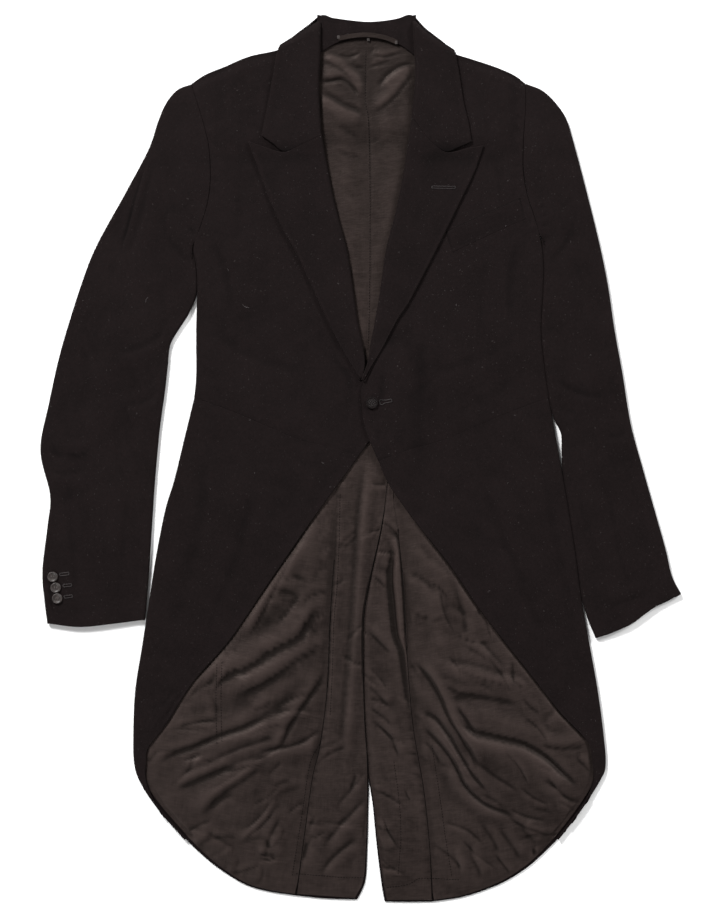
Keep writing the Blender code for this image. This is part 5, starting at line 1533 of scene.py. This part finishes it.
def bumped(tree, shader, height, deep):
    """Lead a height, from 0 to 1, into the shader's normal; deep is in metres."""
    made = node(tree, "ShaderNodeBump", (), 0, Height=height, Distance=deep, Strength=1.0)
    feed(tree, shader.inputs["Normal"], made)


def wool_cloth(name, dark, light):
    """Fine twill: ribs at 63 degrees across the cloth, a short uneven nap, dusty specks, painted
    shade in hollows.
    """
    made, tree, shader = started(name, 0.8, 0.06, 0.02)
    shader.inputs["Sheen Tint"].default_value = (0.75, 0.62, 0.58, 1.0)
    cloth = node(tree, "ShaderNodeUVMap", {"uv_map": "cloth"})
    place = node(tree, "ShaderNodeTexCoord", (), 3)
    twisted = node(tree, "ShaderNodeMapping", (), 0, Vector=cloth,
                   Rotation=(0.0, 0.0, math.radians(63.0)))
    rib = node(tree, "ShaderNodeTexWave", {"wave_type": "BANDS"}, 1, Vector=twisted,
               Scale=2 * math.pi / (20.0 * TWILL), Distortion=1.6, Detail=2.0,
               **{"Detail Scale": 1.5})
    yarn = noise(tree, cloth, 1.0 / 0.0011, 3.0, 0.7)
    nap = noise(tree, place, 1.0 / 0.0035, 4.0, 0.7)
    patch = noise(tree, place, 1.0 / 0.03, 3.0, 0.6)
    broad = noise(tree, place, 1.0 / 0.12, 2.0)
    fleck = noise(tree, place, 1.0 / 0.0016, 1.0, 0.3)
    tone = rib * 0.08 + yarn * 0.32 + nap * 0.36 + patch * 0.18 + broad * 0.10 - 0.03
    colour = mixed(tree, tone.range(0.34, 0.68), dark, light)
    dust = fleck.range(0.735, 0.80, 0.0, 0.5)
    colour = mixed(tree, dust, colour, (0.055, 0.048, 0.046))
    # Painted shade: the wool darkens in the hollows of its folds, by the fold attribute
    fold = node(tree, "ShaderNodeAttribute", {"attribute_name": "fold"}, 2)
    colour = mixed(tree, fold.range(0.12, 0.5), tuple(0.35 * value for value in dark), colour)
    feed(tree, shader.inputs["Base Color"], colour)
    rough = (nap * 0.16 + 0.76).math("MINIMUM", 1.0)
    feed(tree, shader.inputs["Roughness"], rough)
    height = rib * 0.15 + yarn * 0.45 + nap * 0.9
    bumped(tree, shader, height, 0.00035)
    return made


def satin_cloth(name, dark, light):
    """Lining satin: long fine threads along the cloth, small soft rubbed patches, painted shade in
    hollows and towards the collar, painted highlight on ridges.
    """
    made, tree, shader = started(name, 0.46, 0.18, 0.0, (1.0, 0.80, 0.72))
    cloth = node(tree, "ShaderNodeUVMap", {"uv_map": "cloth"})
    place = node(tree, "ShaderNodeTexCoord", (), 3)
    long = node(tree, "ShaderNodeMapping", (), 0, Vector=cloth, Scale=(1.0, 0.035, 1.0))
    cross = node(tree, "ShaderNodeMapping", (), 0, Vector=cloth, Scale=(0.06, 1.0, 1.0))
    warp = noise(tree, long, 1.0 / 0.0008, 2.0, 0.6)
    weft = noise(tree, cross, 1.0 / 0.0011, 2.0, 0.6)
    patch = noise(tree, place, 1.0 / 0.025, 4.0, 0.6)
    broad = noise(tree, place, 1.0 / 0.09, 2.0)
    fine = noise(tree, place, 1.0 / 0.004, 3.0, 0.65)
    drawn = node(tree, "ShaderNodeMapping", (), 0, Vector=cloth, Scale=(0.5, 1.0, 1.0),
                 Rotation=(0.0, 0.0, math.radians(-18.0)))
    rumple = noise(tree, drawn, 1.0 / 0.008, 3.0, 0.6)
    tone = warp * 0.20 + weft * 0.24 + patch * 0.20 + broad * 0.18 + rumple * 0.18
    colour = mixed(tree, tone.range(0.39, 0.61), dark, light)
    # Painted shade: the satin grows darker towards the collar, from Y 0.16 m to 0.44 m
    collar_shade_y = node(tree, "ShaderNodeSeparateXYZ", (), 1, Vector=place)
    colour = mixed(tree, collar_shade_y.range(0.16, 0.44, 0.0, 0.72), colour,
                   tuple(0.55 * value for value in dark))
    # Painted shade: the satin darkens in the hollows of its folds, by the fold attribute
    fold = node(tree, "ShaderNodeAttribute", {"attribute_name": "fold"}, 2)
    colour = mixed(tree, fold.range(0.17, 0.5), tuple(0.30 * value for value in dark), colour)
    # Painted highlight: the satin lightens on the ridges of its folds, by the fold attribute
    colour = mixed(tree, fold.range(0.52, 0.95, 0.0, 0.6), colour,
                   tuple(1.5 * value for value in light))
    feed(tree, shader.inputs["Base Color"], colour)
    rough = patch * 0.12 + fine * 0.12 + warp * 0.08 + 0.39
    feed(tree, shader.inputs["Roughness"], rough)
    height = warp * 0.10 + weft * 0.14 + fine * 0.30 + rumple * 1.3
    bumped(tree, shader, height, 0.0005)
    return made


def horn_button(name, dark, light):
    """Polished dark horn with faint streaks and small scratches."""
    made, tree, shader = started(name, 0.3, 0.38)
    place = node(tree, "ShaderNodeTexCoord", (), 3)
    drawn = node(tree, "ShaderNodeMapping", (), 0, Vector=place, Scale=(1.0, 0.25, 1.0),
                 Rotation=(0.0, 0.0, 0.5))
    streak = noise(tree, drawn, 1.0 / 0.0018, 3.0, 0.6)
    fine = noise(tree, place, 1.0 / 0.0006, 2.0, 0.6)
    colour = mixed(tree, streak.range(0.35, 0.65), dark, light)
    feed(tree, shader.inputs["Base Color"], colour)
    rough = fine * 0.2 + streak * 0.1 + 0.30
    feed(tree, shader.inputs["Roughness"], rough)
    bumped(tree, shader, fine, 0.00005)
    return made


def thread(name, dark, light, rough=0.75):
    """Twisted thread or fibre, uneven in tone."""
    made, tree, shader = started(name, rough, 0.2)
    place = node(tree, "ShaderNodeTexCoord", (), 3)
    strand = noise(tree, place, 1.0 / 0.0007, 2.0, 0.6)
    broad = noise(tree, place, 1.0 / 0.012, 1.0)
    colour = mixed(tree, (strand * 0.6 + broad * 0.4).range(0.38, 0.62), dark, light)
    feed(tree, shader.inputs["Base Color"], colour)
    bumped(tree, shader, strand, 0.0001)
    return made


def paper(name, colour):
    """The pale sheet under the coat, with a trace of unevenness."""
    made, tree, shader = started(name, 0.9, 0.0)
    place = node(tree, "ShaderNodeTexCoord", (), 3)
    faint = noise(tree, place, 3.0, 2.0)
    tone = mixed(tree, faint, colour, tuple(part * 0.985 for part in colour))
    feed(tree, shader.inputs["Base Color"], tone)
    return made


def small(name, parts, material):
    """Several small closed shapes as one object of the coat."""
    points, faces = joined(parts)
    made = mesh_object(name, points, faces, material)
    return made


def tuft(centre, long, turn, draw, tree, radius):
    """A short bent fibre that lies on the cloth."""
    reach = long / 2 * np.linspace(-1.0, 1.0, 7)
    sway = draw.uniform(-0.25, 0.25) * long * (1.0 - np.linspace(-1.0, 1.0, 7) ** 2)
    path = dropped(beside(centre, reach, sway, math.radians(turn)), tree, radius * 0.7)
    return tube(path, radius * np.array([0.4, 0.8, 1.0, 1.0, 1.0, 0.8, 0.4]), 5)


def worked_hole(start, end, tree, wide, radius, keyhole):
    """A sewn buttonhole: a closed loop of cord crossed by close stitches.

    The loop is the line from start to end moved aside by wide, with round ends. A keyhole
    is wider near its start, by an eye."""
    start, end = np.array(start), np.array(end)
    long = np.linalg.norm(end - start)
    along = (end - start) / long
    side = np.array([-along[1], along[0]])
    turn = np.linspace(0.0, 2 * math.pi, 61)
    run = long / 2 * np.clip(1.15 * np.cos(turn), -1.0, 1.0)
    off = wide * np.clip(1.8 * np.sin(turn), -1.0, 1.0)
    if keyhole:
        off = off * (1.0 + 0.9 * np.exp(-((run + long * 0.36) / (long * 0.14)) ** 2))
    loop = (start + end) / 2 + run[:, None] * along + off[:, None] * side
    parts = [tube(dropped(loop, tree, 0.15), radius, 6)]
    away = np.gradient(loop, axis=0)
    away /= np.maximum(np.linalg.norm(away, axis=1), 1e-9)[:, None]
    out = np.stack([away[:, 1], -away[:, 0]], axis=1)
    for k in range(0, 60, 2):
        bar = np.stack([loop[k] - out[k] * 0.5, loop[k], loop[k] + out[k] * 0.9])
        high = dropped(bar, tree, 0.25)
        high[1, 2] += 0.35
        parts.append(tube(high, 0.2, 5))
    return parts


# The finish of each slot that cloth takes, and the materials of the trimmings
FINISH = {
    "wool": wool_cloth("black wool twill", (0.0034, 0.0021, 0.0021), (0.0100, 0.0065, 0.0066)),
    "satin": satin_cloth("lining satin", (0.0075, 0.0052, 0.0048), (0.0232, 0.0166, 0.0151)),
}
horn = horn_button("dark horn", (0.015, 0.0115, 0.0105), (0.038, 0.0300, 0.0275))
covered = wool_cloth("covered button", (0.0034, 0.0026, 0.0026), (0.0100, 0.0076, 0.0074))
light_thread = thread("grey thread", (0.034, 0.029, 0.028), (0.080, 0.069, 0.066))
# Dark wool for the lining's seams and stitches, and for the painted shadow line along the welt
dark_seam_and_shadow = wool_cloth("dark seams and welt shadow", (0.0015, 0.0010, 0.0010), (0.0030, 0.0020, 0.0020))
hole_thread = thread("buttonhole thread", (0.014, 0.0115, 0.0115), (0.040, 0.034, 0.034), 0.6)
fluff = thread("lint", (0.035, 0.031, 0.031), (0.14, 0.127, 0.125), 0.9)

right = dict(armhole=ARMHOLE_R, side=SIDE_R, shoulder=SHOULDER_R, back_head=BACK_HEAD_R,
             front=FRONT_R, waist=WAIST_R, back_seam=BACK_SEAM_R,
             skirt_side=SKIRT_SIDE_R, cutaway=CUTAWAY_R, hem=HEM_R,
             opening=FALL_ROLL_R[:-1] + ROLL_R + CUTAWAY_R, puckers=BACK_PUCKERS_R,
             tail_hem=TAIL_HEM_R, vent=VENT_R, lining_head=LINING_HEAD_R,
             folds=LINING_FOLDS_R, sleeve_out=SLEEVE_OUT_R, sleeve_in=SLEEVE_IN_R,
             cuff=CUFF_R)
left = dict(armhole=ARMHOLE_L, side=SIDE_L, shoulder=SHOULDER_L, back_head=BACK_HEAD_L,
            front=FRONT_L, waist=WAIST_L, back_seam=BACK_SEAM_L,
            skirt_side=SKIRT_SIDE_L, cutaway=CUTAWAY_L, hem=HEM_L,
            opening=FALL_ROLL_L[:-1] + ROLL_L + CUTAWAY_L, puckers=BACK_PUCKERS_L,
            tail_hem=TAIL_HEM_L, vent=VENT_L, lining_head=LINING_HEAD_L,
            folds=LINING_FOLDS_L, sleeve_out=SLEEVE_OUT_L, sleeve_in=SLEEVE_IN_L,
            cuff=CUFF_L)
right_creases = dict(front=FRONT_CREASES_R, skirt=SKIRT_CREASES_R, tail=TAIL_CREASES_R,
                     swells=TAIL_SWELLS_R, sleeve=SLEEVE_CREASES_R, heading=24.0)
left_creases = dict(front=FRONT_CREASES_L, skirt=SKIRT_CREASES_L, tail=TAIL_CREASES_L,
                    swells=TAIL_SWELLS_L, sleeve=SLEEVE_CREASES_L, heading=-42.0)
for label, side, edges, creases, high in (("right", -1.0, right, right_creases, right_front),
                                          ("left", 1.0, left, left_creases, left_front)):
    build_back(label, side, edges)
    build_front(label, side, edges, high, creases)
    build_sleeve(label, side, edges, creases)
build_collar()
build_trim()

# Sewing on the lining
linings = surface(["back_lining_right_cloth", "back_lining_left_cloth",
                   "skirt_lining_right_cloth", "skirt_lining_left_cloth"])
outside = surface([name for name in LAID if "lining" not in name])
sewing = []
for line in LINING_STITCHES:
    sewing += stitched(line, linings)
small("lining_stitches", sewing, dark_seam_and_shadow)
seams = []
for line in (BACK_SEAM_R[7:], BACK_SEAM_L[7:], CENTRE[6:]):
    seams.append(tube(dropped(smooth(line, even(240)), linings, -0.05), SEAM_CORD, 6))
small("lining_seams", seams, dark_seam_and_shadow)
neck = surface(["collar_stand_cloth", "hanger_loop_cloth"])
tacks = []
for x, y in TACKS:
    for k in range(TACK_BARS):
        bar = np.array([(x - 1.6, y - 1.5 + k), (x, y - 1.4 + k), (x + 1.6, y - 1.6 + k)])
        path = dropped(bar, neck, 0.1)
        path[:, 2] = path[:, 2].max() + (-0.3, 0.15, -0.3)
        tacks.append(tube(path, 0.42, 5))
small("loop_tacks", tacks, light_thread)

# Buttonholes
holes = []
for start, end, wide, radius, keyhole in HOLES:
    holes += worked_hole(start, end, outside, wide, radius, keyhole)
small("buttonhole_stitches", holes, hole_thread)

# Buttons
x, y = FRONT_BUTTON_AT
rest = FRONT_TOP + OVERLAP_RISE + SEAM
disc = lathe((x, y, rest), FRONT_BUTTON / 2, FRONT_BUTTON_HEIGHT, FRONT_PROFILE, 64)
button = mesh_object("front_button_covered", *disc, covered, disc[0][:, :2] * MM,
                     np.full(len(disc[0]), 0.5))
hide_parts("front_button")
threads = []
for turn in THREAD_TURNS:
    for k in np.linspace(-THREAD_SPREAD, THREAD_SPREAD, THREAD_COUNT):
        half = math.sqrt(THREAD_END ** 2 - k ** 2) * FRONT_BUTTON / 2
        run = np.linspace(-half, half, 9)
        plan = beside((x, y), run, k * FRONT_BUTTON / 2, turn)
        high = rest + THREAD_HIGH - THREAD_SINK * (run / half) ** 6
        threads.append(tube(np.column_stack([plan, high]), THREAD_RADIUS, 5))
small("front_button_threads", threads, hole_thread)
# Painted shadow: a dark wool rod stands in for the shadow line at the welt's upper edge
path = dropped(smooth(WELT_TOP, even(90)) + (0.2, 0.5), outside, 0.05)
small("breast_welt_shadow_line", [tube(path, WELT_SHADOW_LINE, 6)], dark_seam_and_shadow)
for number, (x, y) in enumerate(CUFF_BUTTONS, 1):
    disc = lathe((x, y, CUFF_REST), CUFF_BUTTON / 2, CUFF_BUTTON_HEIGHT, CUFF_PROFILE, 56)
    button = mesh_object("cuff_button_%d_horn" % number, *disc, horn)
    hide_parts("cuff_button_%d" % number)
    top = CUFF_REST + CUFF_BUTTON_HEIGHT * CUFF_PROFILE[-1][1]
    bars = []
    for aside in (-1.2, 1.2):
        bar = np.array([(x + aside, y - 1.3, top - 0.2), (x + aside, y, top + 0.25),
                        (x + aside, y + 1.3, top - 0.2)])
        bars.append(tube(bar, 0.45, 6))
    small("cuff_button_%d_thread" % number, bars, light_thread)

# Lint and dust
draw = np.random.default_rng(7)
specks = []
for (x, y), long, turn_angle in LINT:
    specks.append(tuft((x, y), long, turn_angle, draw, outside, 0.13 + 0.02 * long ** 0.5))
corners = np.vstack([LAID[name][0][:, :2] for name in LAID if "lining" not in name
                     and "under" not in name and "back" not in name and "side" not in name])
for k in draw.integers(0, len(corners), DUST):
    x, y = corners[k] - PLACE[:2] + draw.uniform(-DUST_OFF, DUST_OFF, 2)
    specks.append(tuft((x, y), draw.uniform(*DUST_LENGTH), draw.uniform(0.0, 180.0), draw,
                       outside, draw.uniform(*DUST_WIDTH)))
small("lint", specks, fluff)

# Floor, light and camera
mesh = bpy.data.meshes.new("floor")
mesh.from_pydata([(FLOOR_HALF * x, FLOOR_HALF * y, FLOOR_HIGH) for x, y
                  in ((-1, -1), (1, -1), (1, 1), (-1, 1))], [], [(0, 1, 2, 3)])
mesh.materials.append(paper("white paper", (0.94, 0.94, 0.94)))
floor = bpy.data.objects.new("floor", mesh)
bpy.context.scene.collection.objects.link(floor)

for name, place, size, power in LIGHTS:
    data = bpy.data.lights.new(name, "AREA")
    data.shape = "RECTANGLE"
    data.size, data.size_y = size
    data.energy = power
    made = bpy.data.objects.new(name, data)
    made.location = place
    made.rotation_euler = Vector(place).to_track_quat("Z", "Y").to_euler()
    bpy.context.scene.collection.objects.link(made)
world = bpy.data.worlds.new("studio")
world.use_nodes = True
world.node_tree.nodes["Background"].inputs["Color"].default_value = (1.0, 1.0, 1.0, 1.0)
world.node_tree.nodes["Background"].inputs["Strength"].default_value = WORLD_STRENGTH
bpy.context.scene.world = world
bpy.context.scene.view_settings.view_transform = "Standard"

lens = bpy.data.cameras.new("camera")
lens.lens = CAMERA_LENS
lens.sensor_width = 36.0
camera = bpy.data.objects.new("camera", lens)
camera.location = CAMERA_AT
bpy.context.scene.collection.objects.link(camera)
bpy.context.scene.camera = camera
